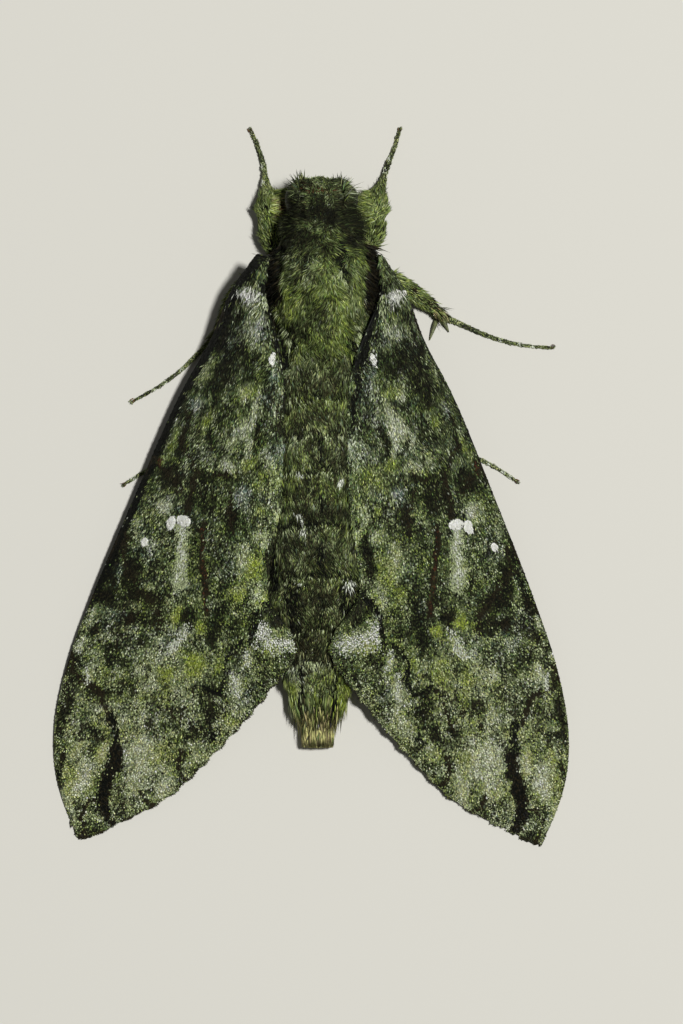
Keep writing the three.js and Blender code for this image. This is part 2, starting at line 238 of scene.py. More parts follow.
PIGMENT_SHARES = np.array([PIGMENTS[n][1] for n in PIGMENT_NAMES])
PIGMENT_TRAITS = np.array([PIGMENTS[n][2:] for n in PIGMENT_NAMES])
TRAITS = ("light", "lime", "brown", "frost")
LUMA = np.array([0.2126, 0.7152, 0.0722])
SHARED_HUE = 0.5
SHARED_LIGHT = 0.35
# A marking's edge fades over this many millimetres to each side.
LINE_FADE = 0.18

noise_table = np.random.default_rng(7).uniform(-1, 1, (256, 256))


def mottle(x, y, size, seed):
    """Soft random patches about this size across, mostly between -1 and 1."""
    gx = x / size + seed * 17.31
    gy = y / size + seed * 29.77
    ix = np.floor(gx).astype(int)
    iy = np.floor(gy).astype(int)
    fx = gx - ix
    fy = gy - iy
    fx = fx * fx * (3 - 2 * fx)
    fy = fy * fy * (3 - 2 * fy)
    a = noise_table[ix & 255, iy & 255]
    b = noise_table[(ix + 1) & 255, iy & 255]
    c = noise_table[ix & 255, (iy + 1) & 255]
    d = noise_table[(ix + 1) & 255, (iy + 1) & 255]
    return 1.5 * ((a * (1 - fx) + b * fx) * (1 - fy) + (c * (1 - fx) + d * fx) * fy)


def smooth(value):
    """0 below 0, 1 above 1 and a soft step between."""
    value = np.clip(value, 0, 1)
    return value * value * (3 - 2 * value)


def path_distance(x, y, path):
    """Distance of each place from a bent line."""
    best = np.full(len(x), 1e9)
    for (ax, ay), (bx, by) in zip(path[:-1], path[1:]):
        dx, dy = bx - ax, by - ay
        along = ((x - ax) * dx + (y - ay) * dy) / max(dx * dx + dy * dy, 1e-9)
        along = np.clip(along, 0, 1)
        best = np.minimum(best, np.hypot(x - ax - along * dx, y - ay - along * dy))
    return best


def patch_reach(x, y, centre, radii, turn=0.0):
    """1 at the middle of a soft oval patch, 0 beyond its rim."""
    c, s = math.cos(math.radians(turn)), math.sin(math.radians(turn))
    dx, dy = x - centre[0], y - centre[1]
    u = (dx * c + dy * s) / radii[0]
    v = (dy * c - dx * s) / radii[1]
    return smooth(1.35 - np.hypot(u, v))


class Coat:
    """Picks a pigment for each of many scales, from what the place is like and from its marks."""

    def __init__(self, x, y, seed):
        self.rng = np.random.default_rng(seed)
        self.x = x
        self.y = y
        self.mood = np.zeros((len(x), len(TRAITS)))
        self.pigment = np.zeros(len(x), int)
        self.marked = np.zeros(len(x), bool)
        self.hue = np.ones((len(x), 3))
        self.average = np.ones(len(x))

    def lean(self, **amounts):
        """Shifts the odds towards light, lime, brown or frost scales."""
        for trait, amount in amounts.items():
            self.mood[:, TRAITS.index(trait)] += amount

    def lean_patches(self, patches, leans, gain=1.0):
        """Leans inside soft ovals: rows of a middle, two radii and a strength."""
        for u, v, long, wide, strength in patches:
            reach = gain * strength * patch_reach(self.x, self.y, (u, v), (long, wide))
            self.lean(**{trait: amount * reach for trait, amount in leans.items()})

    def draw(self):
        """Draws each scale's pigment from the shifted odds."""
        odds = PIGMENT_SHARES * np.exp(self.mood @ PIGMENT_TRAITS.T)
        average = odds @ PIGMENT_COLOURS
        average /= odds.sum(axis=1)[:, None]
        self.average = average @ LUMA
        self.hue = average / self.average[:, None]
        odds = np.cumsum(odds, axis=1)
        pick = self.rng.random(len(self.x)) * odds[:, -1]
        self.pigment = (pick[:, None] > odds).sum(axis=1)

    def cover(self, name, chance):
        """Gives this pigment to a share of the scales."""
        hit = self.rng.random(len(self.x)) < chance
        self.pigment[hit] = PIGMENT_NAMES.index(name)
        self.marked[hit] = True

    def line(self, name, path, width, chance, soft=LINE_FADE):
        """A marking along a bent line."""
        away = path_distance(self.x, self.y, path)
        self.cover(name, chance * smooth((width / 2 + soft - away) / (2 * soft)))

    def spot(self, name, centre, radii, chance, turn=0.0):
        """A marking in an oval."""
        self.cover(name, chance * patch_reach(self.x, self.y, centre, radii, turn))

    def mark(self, marks, where=1.0, soft=LINE_FADE):
        """Draws rows of markings in turn: a list of places is a line, one place is a spot."""
        for name, place, size, chance, *rest in marks:
            if isinstance(place, list):
                self.line(name, place, size, chance * where, *(rest or [soft]))
            else:
                self.spot(name, place, size, chance * where, *rest)

    def colours(self, spread=0.26, calm=SHARED_LIGHT):
        """Linear colour of each scale, no two quite alike."""
        own = PIGMENT_COLOURS[self.pigment]
        light = own @ LUMA
        mix = np.where(self.marked, 0.0, SHARED_HUE)[:, None]
        mixed = own * (1 - mix) + self.hue * light[:, None] * mix
        calmer = (self.average / light) ** np.where(self.marked, 0.0, calm)
        shade = np.exp(self.rng.normal(0, spread, len(self.x)) * np.where(self.marked, 0.5, 1.0))
        return np.clip(mixed * (calmer * shade)[:, None], 0, 1)


# %% [markdown]
# ## The markings of a forewing
#
# The upper side of the forewing carries all of the moth's disguise: mottled moss green, a white
# two-lobed spot at the end of the cell with a pale streak behind it, rust-brown dashes, a black
# jagged streak that runs to the tip, and frosty lobes at the rear corner. Each mark is a line or
# an oval in the wing's plan, and its edge wobbles a little, as scales never stop on a line.

# %% Forewing markings
TIP_S = 50.7
# The front edge of a forewing: S, T
FRONT_EDGE = [
    (-3.3, 0.5), (0, -0.85), (5, -1.5), (10, -2.7), (20, -4.1), (30, -5.3), (36, -5.7), (42, -5.2),
    (46, -3.8), (50.7, -0.3),
]
# The outer part of its hind edge: S, T
HIND_EDGE = [
    (27, 12.0), (28.2, 13.25), (29.6, 13.6), (31.6, 13.0), (34.5, 11.9), (38.9, 9.8), (42, 8.2),
    (45, 6.3), (48.9, 2.2), (50.7, 0.15),
]
# Soft patches: centre S and T, radii along and across the wing, strength
PALE_PATCHES = (
    (2.4, 1.9, 1.6, 0.8, 0.8), (11.3, 3.7, 1.2, 0.8, 1.5), (12.7, 4.5, 1.0, 0.5, 1.2),
    (8.6, 2.9, 0.7, 0.7, 1.1), (12.9, 2.9, 0.9, 0.4, 1.0), (15.2, 3.2, 0.8, 0.7, 1.1),
    (9.5, 4.1, 1.7, 0.45, 0.9), (20.2, -1.0, 1.0, 0.8, 1.5), (20.2, 7.8, 0.7, 0.7, 1.3),
    (21.8, 6.5, 1.1, 0.6, 0.9), (17.8, 8.5, 1.0, 0.5, 0.8), (19.5, 9.2, 0.8, 0.4, 0.8),
    (30.6, 3.5, 0.7, 0.5, 1.2), (31.9, 3.1, 0.7, 0.5, 1.1), (33.5, 9.3, 1.4, 0.6, 1.1),
    (31.0, 9.5, 1.0, 0.6, 1.0), (30.9, -4.6, 0.6, 0.4, 0.9), (34.3, -5.0, 0.6, 0.4, 1.1),
    (36.6, -3.5, 0.9, 0.5, 1.1), (35.2, -3.0, 0.8, 0.8, 0.6), (41.8, 3.2, 1.9, 1.6, 1.2),
    (25.4, 8.7, 1.4, 0.6, 1.0), (23.3, 7.0, 1.6, 0.6, 0.7), (44.5, 3.2, 1.2, 1.2, 0.7),
    (44.0, 5.6, 1.6, 0.7, 0.8), (45.2, -1.4, 1.6, 0.8, 1.6), (42.7, -0.5, 0.9, 0.45, 2.0),
    (43.3, -2.6, 1.3, 0.6, 0.7), (47.5, -2.3, 1.5, 0.9, 0.6), (36.2, 9.6, 1.4, 0.7, 0.7),
    (39.8, 7.6, 0.9, 0.8, 0.6), (24.2, 1.5, 2.2, 0.8, 0.8), (28.5, 11.3, 1.2, 2.0, 0.8),
    (7.6, -1.0, 1.3, 0.4, 0.4), (22.8, -2.9, 1.8, 0.5, 0.4), (34.6, 1.6, 2.0, 1.6, 0.3),
    (38.5, 1.6, 2.0, 1.0, 0.4),
)
LIME_PATCHES = (
    (8.2, 3.4, 0.7, 0.9, 1.2), (14.2, -1.9, 1.1, 0.5, 1.3), (11.6, 0.3, 1.0, 0.4, 1.3),
    (14.3, 5.0, 0.8, 0.6, 1.0), (15.8, 6.2, 1.3, 0.7, 0.8), (14.8, 7.3, 1.3, 1.1, 0.8),
    (18.0, 7.2, 0.7, 0.5, 1.2), (23.0, 7.9, 1.7, 0.9, 1.2), (25.5, 7.3, 0.9, 0.7, 1.0),
    (25.3, 9.3, 0.7, 0.4, 1.3), (29.4, 4.8, 0.6, 0.5, 1.8), (28.9, 2.5, 1.1, 0.5, 1.2),
    (33.0, 5.3, 1.5, 0.9, 1.2), (34.2, 3.2, 0.9, 0.6, 1.1), (31.8, 7.2, 1.1, 0.4, 0.8),
    (42.7, -2.6, 0.9, 0.4, 1.3), (42.7, -0.5, 1.2, 0.6, 1.3), (40.3, -0.5, 0.9, 0.3, 1.0),
    (28.5, -0.2, 0.9, 0.9, 0.6), (29.4, 11.0, 0.6, 0.7, 1.0), (36.0, 3.6, 1.3, 0.8, 0.5),
    (45.5, -2.4, 1.5, 1.0, 0.5), (41.5, 5.0, 1.5, 1.2, 0.4), (6.4, -0.6, 0.8, 0.4, 0.8),
)
BLUE_PATCHES = (
    (10.9, -1.0, 0.8, 0.6, 1.3), (17.3, 5.1, 1.3, 0.7, 1.6), (6.2, 4.9, 1.1, 0.5, 1.1),
    (24.0, -1.5, 2.0, 1.6, 0.8), (30.5, -2.5, 1.6, 1.6, 0.7), (26.8, -3.4, 0.9, 0.5, 1.2),
    (32.5, -0.5, 1.6, 1.6, 0.7), (24.0, 5.8, 1.7, 0.7, 1.0), (27.2, 5.3, 1.1, 0.7, 0.8),
    (12.5, 7.8, 2.4, 1.4, 0.8), (3.0, 2.6, 1.6, 0.7, 0.9), (31.5, 2.2, 1.6, 1.3, 0.7),
    (8.5, 5.6, 2.0, 0.9, 0.7), (20.5, 0.0, 2.5, 2.5, 0.3), (4.0, 0.0, 3.0, 1.6, 0.5),
    (34.5, 10.5, 2.0, 0.8, 0.6),
)
DARK_PATCHES = (
    (8.0, 0.6, 2.0, 1.1, 0.6), (5.5, 1.6, 1.1, 1.1, 0.7), (4.8, -0.3, 1.3, 0.5, 1.0),
    (10.0, 0.6, 0.6, 0.4, 0.9), (13.1, 0.9, 0.4, 0.3, 0.9), (15.9, 3.2, 0.35, 0.9, 0.9),
    (12.0, 5.1, 1.7, 0.35, 0.9), (13.8, -1.2, 1.6, 0.4, 0.8), (17.3, -1.2, 1.3, 1.1, 0.9),
    (19.0, 0.9, 1.7, 0.4, 0.9), (18.2, 2.2, 1.6, 1.1, 0.5), (19.3, 4.9, 1.6, 0.5, 0.9),
    (21.6, 8.95, 2.2, 0.5, 1.0), (26.6, -2.3, 1.5, 0.7, 1.1), (28.3, -0.6, 0.8, 1.7, 1.2),
    (29.4, -4.0, 0.8, 0.8, 1.2), (30.4, -1.2, 0.6, 0.5, 1.3), (26.5, -3.9, 2.6, 0.5, 0.9),
    (28.6, 3.4, 0.9, 0.7, 0.7), (29.0, 6.2, 2.2, 0.6, 0.6), (32.4, -3.9, 0.7, 0.5, 0.7),
    (36.8, 7.8, 1.2, 0.7, 0.6), (38.5, 5.4, 0.6, 0.5, 0.5), (39.0, -4.6, 2.6, 0.6, 0.6),
    (34.5, 7.0, 0.6, 0.9, 0.6), (38.7, 2.8, 0.45, 0.4, 0.6), (33.8, -1.5, 1.3, 1.7, 0.3),
    (16.5, 1.4, 0.6, 1.4, 0.5), (30.0, 0.3, 1.2, 1.2, 0.4), (26.0, 5.8, 2.0, 0.8, 0.4),
    (10.0, 6.6, 2.2, 0.6, 0.5), (36.0, 0.6, 1.0, 0.8, 0.3), (26.0, 11.0, 1.2, 1.2, 0.8),
    (40.8, -4.3, 2.2, 0.4, 0.35), (37.0, 2.6, 1.0, 0.8, 0.4), (38.8, 6.9, 1.0, 0.7, 0.35),
    (35.5, 7.2, 1.0, 0.8, 0.35), (37.3, -2.9, 0.4, 0.6, 0.5), (44.0, -3.5, 0.8, 0.4, 0.9),
    (49.6, 0.6, 0.9, 0.9, 0.6),
)

# Markings, drawn in this order: pigment; S and T of a line's places or of a spot's middle; the
# line's width or the spot's radii; chance; and the line's soft edge or the spot's turn.
FOREWING_MARKS = (
    # The shaded seam along the shoulder, with the white tuft of the wing's base beside it.
    ("frost", (0.25, 0.9), (0.6, 1.1), 0.85),
    ("white", (0.1, 0.8), (0.4, 0.8), 0.6),
    ("lichen", [(-0.1, 2.1), (1.0, 2.45)], 0.4, 0.6),
    ("white", (5.1, 4.3), (0.5, 0.25), 0.95, 35),
    ("black", [(-4, 1.9), (-1, 1.95), (0, 2.5), (1.2, 3.0), (2.2, 3.7), (3.4, 4.4)], 0.75, 0.95),
    ("black", (3.9, 4.7), (0.65, 0.6), 0.97),
    ("black", [(4, 4.7), (4.8, 5.1), (5.4, 5.8), (6.5, 6.0)], 0.7, 0.95),
    ("black", [(6.4, 5.9), (7.6, 6.2), (8, 6.8), (9, 6.9), (9.9, 7.4)], 0.45, 0.85),
    # Inner half.
    ("umber", [(11.6, -1.7), (14.5, -1.0), (15.3, 0.0), (16.5, 0.8)], 0.38, 0.75),
    ("umber", [(16.5, 0.8), (20.1, 0.95)], 0.55, 0.8),
    ("umber", [(16.3, 2.3), (15.6, 3.7)], 0.35, 0.7),
    ("umber", [(16.3, -3.0), (17.6, -1.2), (18.4, -0.2)], 0.7, 0.6, 0.3),
    ("rust", (16.3, -2.6), (0.5, 0.3), 0.6),
    ("lichen", [(10.9, 0.8), (12.1, 1.2)], 0.25, 0.6),
    # The pale streak behind the white spot, and the dark dashes.
    ("lichen", [(21.4, 0.95), (23.2, 1.4), (26.2, 2.0)], 1.15, 0.85, 0.25),
    ("frost", [(21.5, 0.9), (23.5, 1.45), (25.8, 1.9)], 0.6, 0.5, 0.2),
    ("umber", [(20.6, 2.6), (22, 2.9), (24, 3.6), (28.0, 4.95)], 0.5, 0.95, 0.12),
    ("rust", [(20.8, 2.65), (24, 3.65), (27.8, 4.9)], 0.2, 0.3, 0.1),
    ("frost", [(29.9, 3.6), (31.0, 3.4), (31.9, 3.0)], 0.8, 0.5, 0.3),
    ("umber", [(17.1, 3.9), (18.5, 4.5), (20.5, 5.1)], 0.4, 0.7, 0.2),
    ("umber", [(23.6, -3.8), (26, -2.9), (27.4, -1.3),
         (28.4, 0.1), (29.2, 1.0), (30.5, 1.6)], 0.6, 0.7, 0.3),
    ("umber", (30.4, -1.2), (0.5, 0.45), 0.7),
    # The black arch by the rear corner and the frosty lobe behind it.
    ("frost", [(27.9, 10.0), (29.0, 10.5), (28.9, 11.6), (28.7, 12.8)], 1.5, 0.45, 0.5),
    ("white", [(27.7, 9.9), (28.8, 10.4), (28.7, 11.4), (28.6, 12.8)], 0.5, 0.5, 0.4),
    ("frost", [(30.3, 9.2), (31.4, 9.7)], 0.5, 0.6, 0.3),
    ("frost", [(32.4, 8.8), (34.4, 9.5)], 0.4, 0.6, 0.25),
    ("black", [(24.4, 10.1), (25.4, 10.0), (26.1, 9.5),
         (26.9, 9.1), (28, 9.3), (29.5, 9.6)], 0.42, 0.85),
    ("black", [(29.5, 8.7), (30.4, 8.05), (31.8, 7.85), (32.8, 8.3), (34.4, 8.3)], 0.36, 0.9, 0.12),
    ("black", [(34.5, 8.2), (34.55, 7.3), (34.3, 6.4)], 0.4, 0.9, 0.12),
    ("umber", [(34.7, 5.95), (36.0, 5.8), (37.5, 5.6), (38.3, 5.1)], 0.26, 0.85, 0.12),
    # Outer part.
    ("umber", [(35.0, -5.3), (36.7, -4.5), (37.0, -3.2), (37.3, -1.9)], 0.5, 0.75, 0.25),
    ("frost", [(35.7, -3.9), (37.0, -3.4)], 0.35, 0.7, 0.2),
    ("umber", (44.0, -3.5), (0.7, 0.35), 0.6),
    ("umber", (41.8, -2.6), (0.4, 0.3), 0.4),
    ("umber", [(37.0, -2.7), (37.6, -1.9), (38.6, -1.2), (39.5, -0.4)], 0.5, 0.9, 0.15),
    ("black", [(39.2, -0.4), (40.2, 0.1), (41.2, 0.45), (42.2, 0.8)], 0.7, 0.88, 0.18),
    ("umber", [(42.0, 0.9), (43.2, 0.95), (44.2, 0.65), (45.1, 0.8)], 1.1, 0.95, 0.18),
    ("umber", [(44.9, 0.8), (46.2, 0.75), (47.4, 1.1)], 0.95, 0.95, 0.18),
    ("umber", [(47.2, 1.1), (48.3, 2.1)], 0.6, 0.95, 0.15),
    ("black", [(42.0, 0.9), (43.2, 0.95), (44.2, 0.65), (45.1, 0.8)], 1.1, 0.6, 0.18),
    ("black", [(44.9, 0.8), (46.2, 0.75), (47.4, 1.1)], 0.95, 0.6, 0.18),
    ("black", [(47.2, 1.1), (48.3, 2.1)], 0.6, 0.6, 0.15),
    ("umber", [(46.9, 0.2), (47.1, -0.35), (47.8, -0.6), (48.7, -0.4)], 0.32, 0.95, 0.1),
    ("umber", [(48.7, -0.4), (49.7, 0.0)], 0.26, 0.6, 0.1),
    ("umber", (50.2, 0.15), (0.8, 0.55), 0.9),
    ("black", (38.5, 8.55), (0.7, 0.35), 0.85),
    ("umber", [(40.6, 6.4), (42.0, 6.4), (42.8, 7.2)], 0.42, 0.9, 0.12),
    ("umber", [(44.8, 3.9), (45.6, 4.4), (45.9, 5.2)], 0.42, 0.9, 0.12),
    ("umber", [(36.5, 4.1), (37.8, 4.9)], 0.28, 0.8, 0.12),
    ("umber", (38.8, 2.8), (0.45, 0.25), 0.45),
)

# %% [markdown]
# ### From places to pigments
#
# One function turns places on the wing into pigments, so the scales, the fringe and the bare sheet
# below them all carry the same picture. It first sets the mood of the ground, then draws from the
# odds, and last covers the sharp markings over that.

# %% Forewing pigments
def forewing_coat(side, s, t, seed):
    """The pigments of the scales at these places on a forewing's upper side."""
    from_edge = t - np.interp(s, *zip(*FRONT_EDGE))
    drift_s, drift_t = WINGS[side]["drift"]
    fade = smooth((from_edge - 0.1) / 1.6) * (0.45 + 0.55 * smooth((46 - s) / 16))
    s = s - drift_s + 0.16 * mottle(s, t, 0.8, 1 + seed)
    t = t - drift_t * fade + 0.16 * mottle(s, t, 0.8, 2 + seed)
    coat = Coat(s, t, seed)

    # Ground: streaks at the base, speckles further out, and the whole wing paler to the tip.
    basal = smooth((24 - s) / 14)
    coat.lean(light=-0.28 + 0.56 * smooth((s - 24) / 16) - 0.6 * smooth((-0.5 - s) / 0.8))
    if side == "right":
        coat.lean(light=-0.22 * smooth((12 - s) / 6))
    else:
        coat.lean(light=-0.45 * smooth((10 - s) / 5) * smooth((1.4 - t) / 1.2))
    bold = 1 + 0.6 * smooth((s - 22) / 8)
    broad, fine = mottle(s, t, 2.4, 3 + seed), mottle(s, t, 0.9, 4 + seed)
    coat.lean(light=bold * (0.14 * broad + 0.30 * fine))
    coat.lean(light=0.55 * basal * mottle(s * 0.28, t, 0.33, 5 + seed))
    coat.lean(light=0.42 * mottle(s * 0.6, t, 0.3, 6 + seed))
    coat.lean(lime=-0.10 + 0.28 * mottle(s, t, 2.0, 7 + seed) + 0.50 * mottle(s, t, 0.6, 8 + seed))
    coat.lean(brown=0.30 * mottle(s, t, 1.5, 9 + seed) - 0.1 + 0.55 * smooth((s - 26) / 12))
    broad, fine = mottle(s, t, 1.6, 10 + seed), mottle(s, t, 0.6, 11 + seed)
    coat.lean(frost=0.20 * broad + 0.30 * fine + 0.35 * basal - 0.25)
    for patches, leans in (
        (PALE_PATCHES, {"light": 1.7, "frost": 0.3, "lime": 0.2}),
        (LIME_PATCHES, {"lime": 0.85, "light": 0.8, "frost": -0.5}),
        (BLUE_PATCHES, {"frost": 0.8, "lime": -0.6, "light": 0.2}),
        (DARK_PATCHES, {"light": -2.0, "brown": 0.5}),
    ):
        coat.lean_patches(patches, leans, 0.85 + 0.15 * bold)
    coat.draw()

    # A dark front edge: a thin dark rim on the right wing, and on the left wing a broad black band
    # of painted shadow and shade, where its front edge turns down away from the lamp.
    edge_and_shadow_width = 0.78 if side == "left" else 0.14
    dark_end = smooth((34 - s) / 6) * (smooth((s - 0.5) / 1.5) if side == "right" else 1.0)
    breadth = edge_and_shadow_width * (0.45 + 0.55 * dark_end)
    coat.cover("black", 0.97 * smooth((breadth + 0.12 - from_edge) / 0.24) * dark_end)
    for middle, half in ((3.0, 1.0), (17.0, 0.9), (25.0, 1.2), (30.0, 0.6), (36.2, 0.9)):
        in_bar = smooth((half + 0.2 - np.abs(s - middle)) / 0.4)
        coat.cover("umber", 0.85 * smooth((0.45 - from_edge) / 0.2) * in_bar)

    to_margin = np.interp(s, *zip(*HIND_EDGE)) - (t + drift_t * fade)
    coat.cover("umber", 0.6 * smooth((0.42 - to_margin) / 0.25) * smooth((s - 29) / 2))
    coat.mark(FOREWING_MARKS)
    return coat


# %% [markdown]
# ## The markings of the body
#
# The thorax is mossy with yellow-green in the middle, a dark nape and collar, a black seam where
# each wing starts, partly its own dark edge and partly painted shade of the crease there, and
# blue-white spots at its rear edge. The abdomen is darker, with a dash down the middle of each
# ring and pale dots beside it. Below, the fur is plain and paler, as it is in most hawk moths.

# %% Body markings
SHOULDER_SEAMS = (
    [
        (-3.5, 20.9), (-3.9, 19.4), (-4.1, 17.6), (-4.05, 16.5), (-3.8, 14.9), (-3.4, 13.7),
        (-2.9, 12.0), (-2.7, 10.4),
    ],
    [
        (4.8, 20.4), (5.05, 19.0), (5.2, 17.6), (5.2, 16.5), (5.0, 15.1), (4.5, 13.5), (3.6, 12.2),
        (3.2, 10.6),
    ],
)

# Soft patches on the head, thorax and tail: middle X and Y, two radii, strength
BODY_BRIGHT = (
    (1.9, 14.2, 1.2, 2.6, 0.8), (0.4, 16.5, 2.6, 3.0, 0.15), (3.4, 18.3, 0.9, 2.0, 0.4),
    (-2.4, 18.5, 1.2, 1.6, 0.3), (0.5, 12.6, 1.6, 1.0, 0.5), (-2.6, -17.6, 1.0, 1.6, 1.3),
    (2.5, -17.6, 1.0, 1.6, 1.3), (0.0, -17.8, 1.1, 1.6, 0.6), (-2.9, 24.2, 0.8, 1.2, 1.9),
    (-2.9, 17.0, 0.7, 2.6, 0.5), (4.0, 17.2, 0.7, 2.6, 0.5),
)
BODY_DARK = (
    (0.7, 23.6, 2.6, 0.7, 1.2), (-1.8, 21.6, 2.2, 0.7, 1.1), (3.1, 21.5, 1.8, 1.1, 1.1),
    (-3.1, 20.2, 0.6, 1.2, 0.7), (0.3, 24.5, 0.5, 0.6, 0.7), (-2.7, 13.9, 0.9, 1.2, 0.5),
    (0.7, 22.6, 3.0, 0.5, 0.5), (-0.3, 18.3, 1.2, 1.6, 0.2), (-0.2, -0.8, 2.4, 2.6, 0.3),
    (0.2, -9.0, 1.6, 3.0, 0.2),
)
BODY_MARKS = (
    ("black", [(-0.85, 20.2), (-0.8, 18.8)], 0.45, 0.7),
    ("black", [(1.75, 20.8), (2.1, 19.6), (2.5, 18.5)], 0.5, 0.7),
    ("lichen", [(-1.0, 18.4), (-0.8, 17.2)], 0.2, 0.4),
    ("lichen", [(1.9, 18.8), (2.5, 17.6)], 0.25, 0.5),
    ("umber", [(-0.9, 25.9), (1.2, 25.8)], 0.3, 0.5),
    ("rust", [(-0.8, 25.7), (1.1, 25.6)], 0.22, 0.35),
    ("sand", [(-2.9, 25.0), (-2.6, 23.3)], 0.8, 0.5),
    ("rust", [(-2.7, 25.1), (-2.5, 23.6)], 0.35, 0.5),
    ("lichen", [(-2.5, 13.5), (-2.2, 12.4)], 0.5, 0.4),
    ("lichen", [(3.35, 14.2), (3.4, 12.6)], 0.5, 0.4),
    ("black", [(-2.0, 13.2), (-2.2, 11.6)], 0.4, 0.7),
    ("black", [(2.9, 13.0), (3.1, 11.8)], 0.4, 0.7),
)
# The shoulder seams are painted black: partly a dark edge, partly painted shade of the crease.
SEAM_EDGE_AND_SHADE_WIDTH = 0.62
BODY_FADE = 0.15


def body_coat(points, normals, seed):
    """The pigments of the hairs at these places on the head, thorax, abdomen and tail."""
    x, y = points[:, 0], points[:, 1]
    x = x + 0.18 * mottle(x, y, 0.8, 1 + seed)
    y = y + 0.25 * mottle(x, y, 0.8, 2 + seed)
    coat = Coat(x, y, seed)
    above = smooth((normals[:, 2] + 0.25) / 0.5)
    thorax = smooth((y - 9.5) / 3)
    rear = smooth((-6.5 - y) / 3) * smooth((y + 16.5) / 1.5)

    head = smooth((y - 22.3) / 1.2)
    darker = -0.2 * rear * above - 0.25 * head * above
    coat.lean(light=-0.62 + 0.25 * (1 - thorax) + darker + 1.1 * (1 - above))
    coat.lean(light=0.35 * mottle(x, y, 1.6, 3 + seed) + 0.40 * mottle(x, y * 0.3, 0.3, 4 + seed))
    coat.lean(light=0.40 * mottle(x, y, 0.45, 7 + seed))
    greener = 0.5 * mottle(x, y, 1.6, 5 + seed)
    coat.lean(lime=-0.05 * thorax + greener - 0.25 * (1 - thorax) - 0.4 * head)
    coat.lean(brown=0.25 * (1 - thorax) + 0.4 * rear + 0.9 * (1 - above))
    coat.lean(frost=0.35 * mottle(x, y, 2.0, 6 + seed) + 0.3 * (1 - above) - 0.6)
    tail, face = smooth((-14.8 - y) / 1.0), smooth((y - 24.6) / 0.8)
    coat.lean(light=0.35 * tail + 0.22 * rear * above + 0.2 * face * above)
    coat.lean_patches(BODY_BRIGHT, {"lime": 1.0, "light": 0.45}, above)
    coat.lean_patches(BODY_DARK, {"light": -1.3}, above)
    coat.draw()

    top = above > 0.3
    coat.mark(BODY_MARKS, top, BODY_FADE)
    # Black along the shoulder seams: partly a dark edge, partly painted shade in the crease.
    coat.mark([("black", path, SEAM_EDGE_AND_SHADE_WIDTH, 0.95) for path in SHOULDER_SEAMS], top, BODY_FADE)
    return coat


# The rings of the abdomen end at these Y.
RING_ENDS = (7.8, 4.6, 1.4, -3.3, -7.8, -12.3, -15.4)
ABDOMEN_MARKS = (
    ("black", [(0.35, 4.4), (0.35, 1.8)], 0.35, 0.7),
    ("black", [(0.3, -0.8), (0.3, -1.9)], 0.4, 0.7),
    ("black", [(0.35, -5.2), (0.35, -7.6)], 0.45, 0.8),
    ("black", [(0.3, -9.5), (0.3, -11.6)], 0.4, 0.5),
    ("black", [(-2.1, -8.8), (-2.2, -12.0)], 1.2, 0.6),
    ("black", [(2.6, -8.6), (2.7, -12.0)], 1.2, 0.6),
    ("black", [(-3.9, -5.0), (-3.7, -8.6)], 0.7, 0.8),
    ("black", [(4.0, -5.3), (4.1, -8.8)], 0.6, 0.8),
    ("black", [(-1.5, -15.6), (-1.4, -19.0)], 0.3, 0.8),
    ("black", [(1.6, -15.6), (1.5, -19.0)], 0.3, 0.8),
    ("frost", [(-1.9, -2.2), (-1.2, -2.9)], 0.3, 0.5),
    ("lichen", [(-0.9, -15.3), (1.15, -15.3)], 0.3, 0.7),
    ("lilac", [(-2.0, -19.5), (1.8, -19.4)], 0.5, 0.5), ("frost", (-1.5, 1.1), (0.28, 0.25), 0.9),
    ("frost", (2.05, 0.75), (0.28, 0.25), 0.9), ("frost", (-1.15, -3.6), (0.28, 0.25), 0.9),
    ("frost", (-1.6, -8.4), (0.28, 0.25), 0.9), ("frost", (2.6, -8.4), (0.28, 0.25), 0.9),
)


def mark_abdomen(coat, normals):
    """Dashes, dots and ring edges on the abdomen."""
    top = normals[:, 2] > 0.1
    y = coat.y
    for end in RING_ENDS:
        edge = np.abs(y - end - 0.15)
        coat.cover("black", 0.45 * smooth((0.35 - edge) / 0.25) * top)
        lip = np.abs(y - end + 0.25)
        coat.cover("lichen", 0.16 * smooth((0.3 - lip) / 0.2) * top)
    coat.mark(ABDOMEN_MARKS, top, BODY_FADE)


# %% [markdown]
# ## The bare body
#
# Head, thorax, abdomen, legs and palps are separate solids in the frame, but the living animal has
# one unbroken skin. Copies of the solids are swollen until the thin gaps between them close, melted
# into one surface with a voxel remesh, smoothed, and drawn back in by the swelling plus the depth
# of the coat. A voxel remesh is the right tool here, as it doesn't mind that the copies overlap.

# %% Bare body
LEG_PAIRS = ("foreleg", "midleg", "hindleg")
LEG_PARTS = ("femur", "tibia", "tarsus")
LEG_NODES = [f"{leg}_{side}_{part}" for leg in LEG_PAIRS for side in WINGS for part in LEG_PARTS]
TRUNK_NODES = ["head", "thorax", "abdomen", "tail_brush"]
PALP_NODES = ["palp_left", "palp_right"]
FOOT_NODES = [n for n in LEG_NODES if n.endswith("tarsus")]
SHIN_NODES = [n for n in LEG_NODES if not n.endswith("tarsus")]
SWELLING = 0.34
VOXEL = 0.2
LEG_COAT = 0.17
FOOT_COAT = 0.07
SEAM_DEPTH = 0.45
SEAM_REACH = 0.65
HIP_RADIUS = 1.0
# Coat depth along the trunk: Y, depth
COAT_DEPTH = [
    (-23.2, 0.4), (-20.5, 0.45), (-15, 0.3), (5, 0.3), (11, 0.36), (16, 0.42), (21, 0.40),
    (23.5, 0.34), (27.1, 0.28),
]

soft = merged_nodes(*TRUNK_NODES, *PALP_NODES, *LEG_NODES)
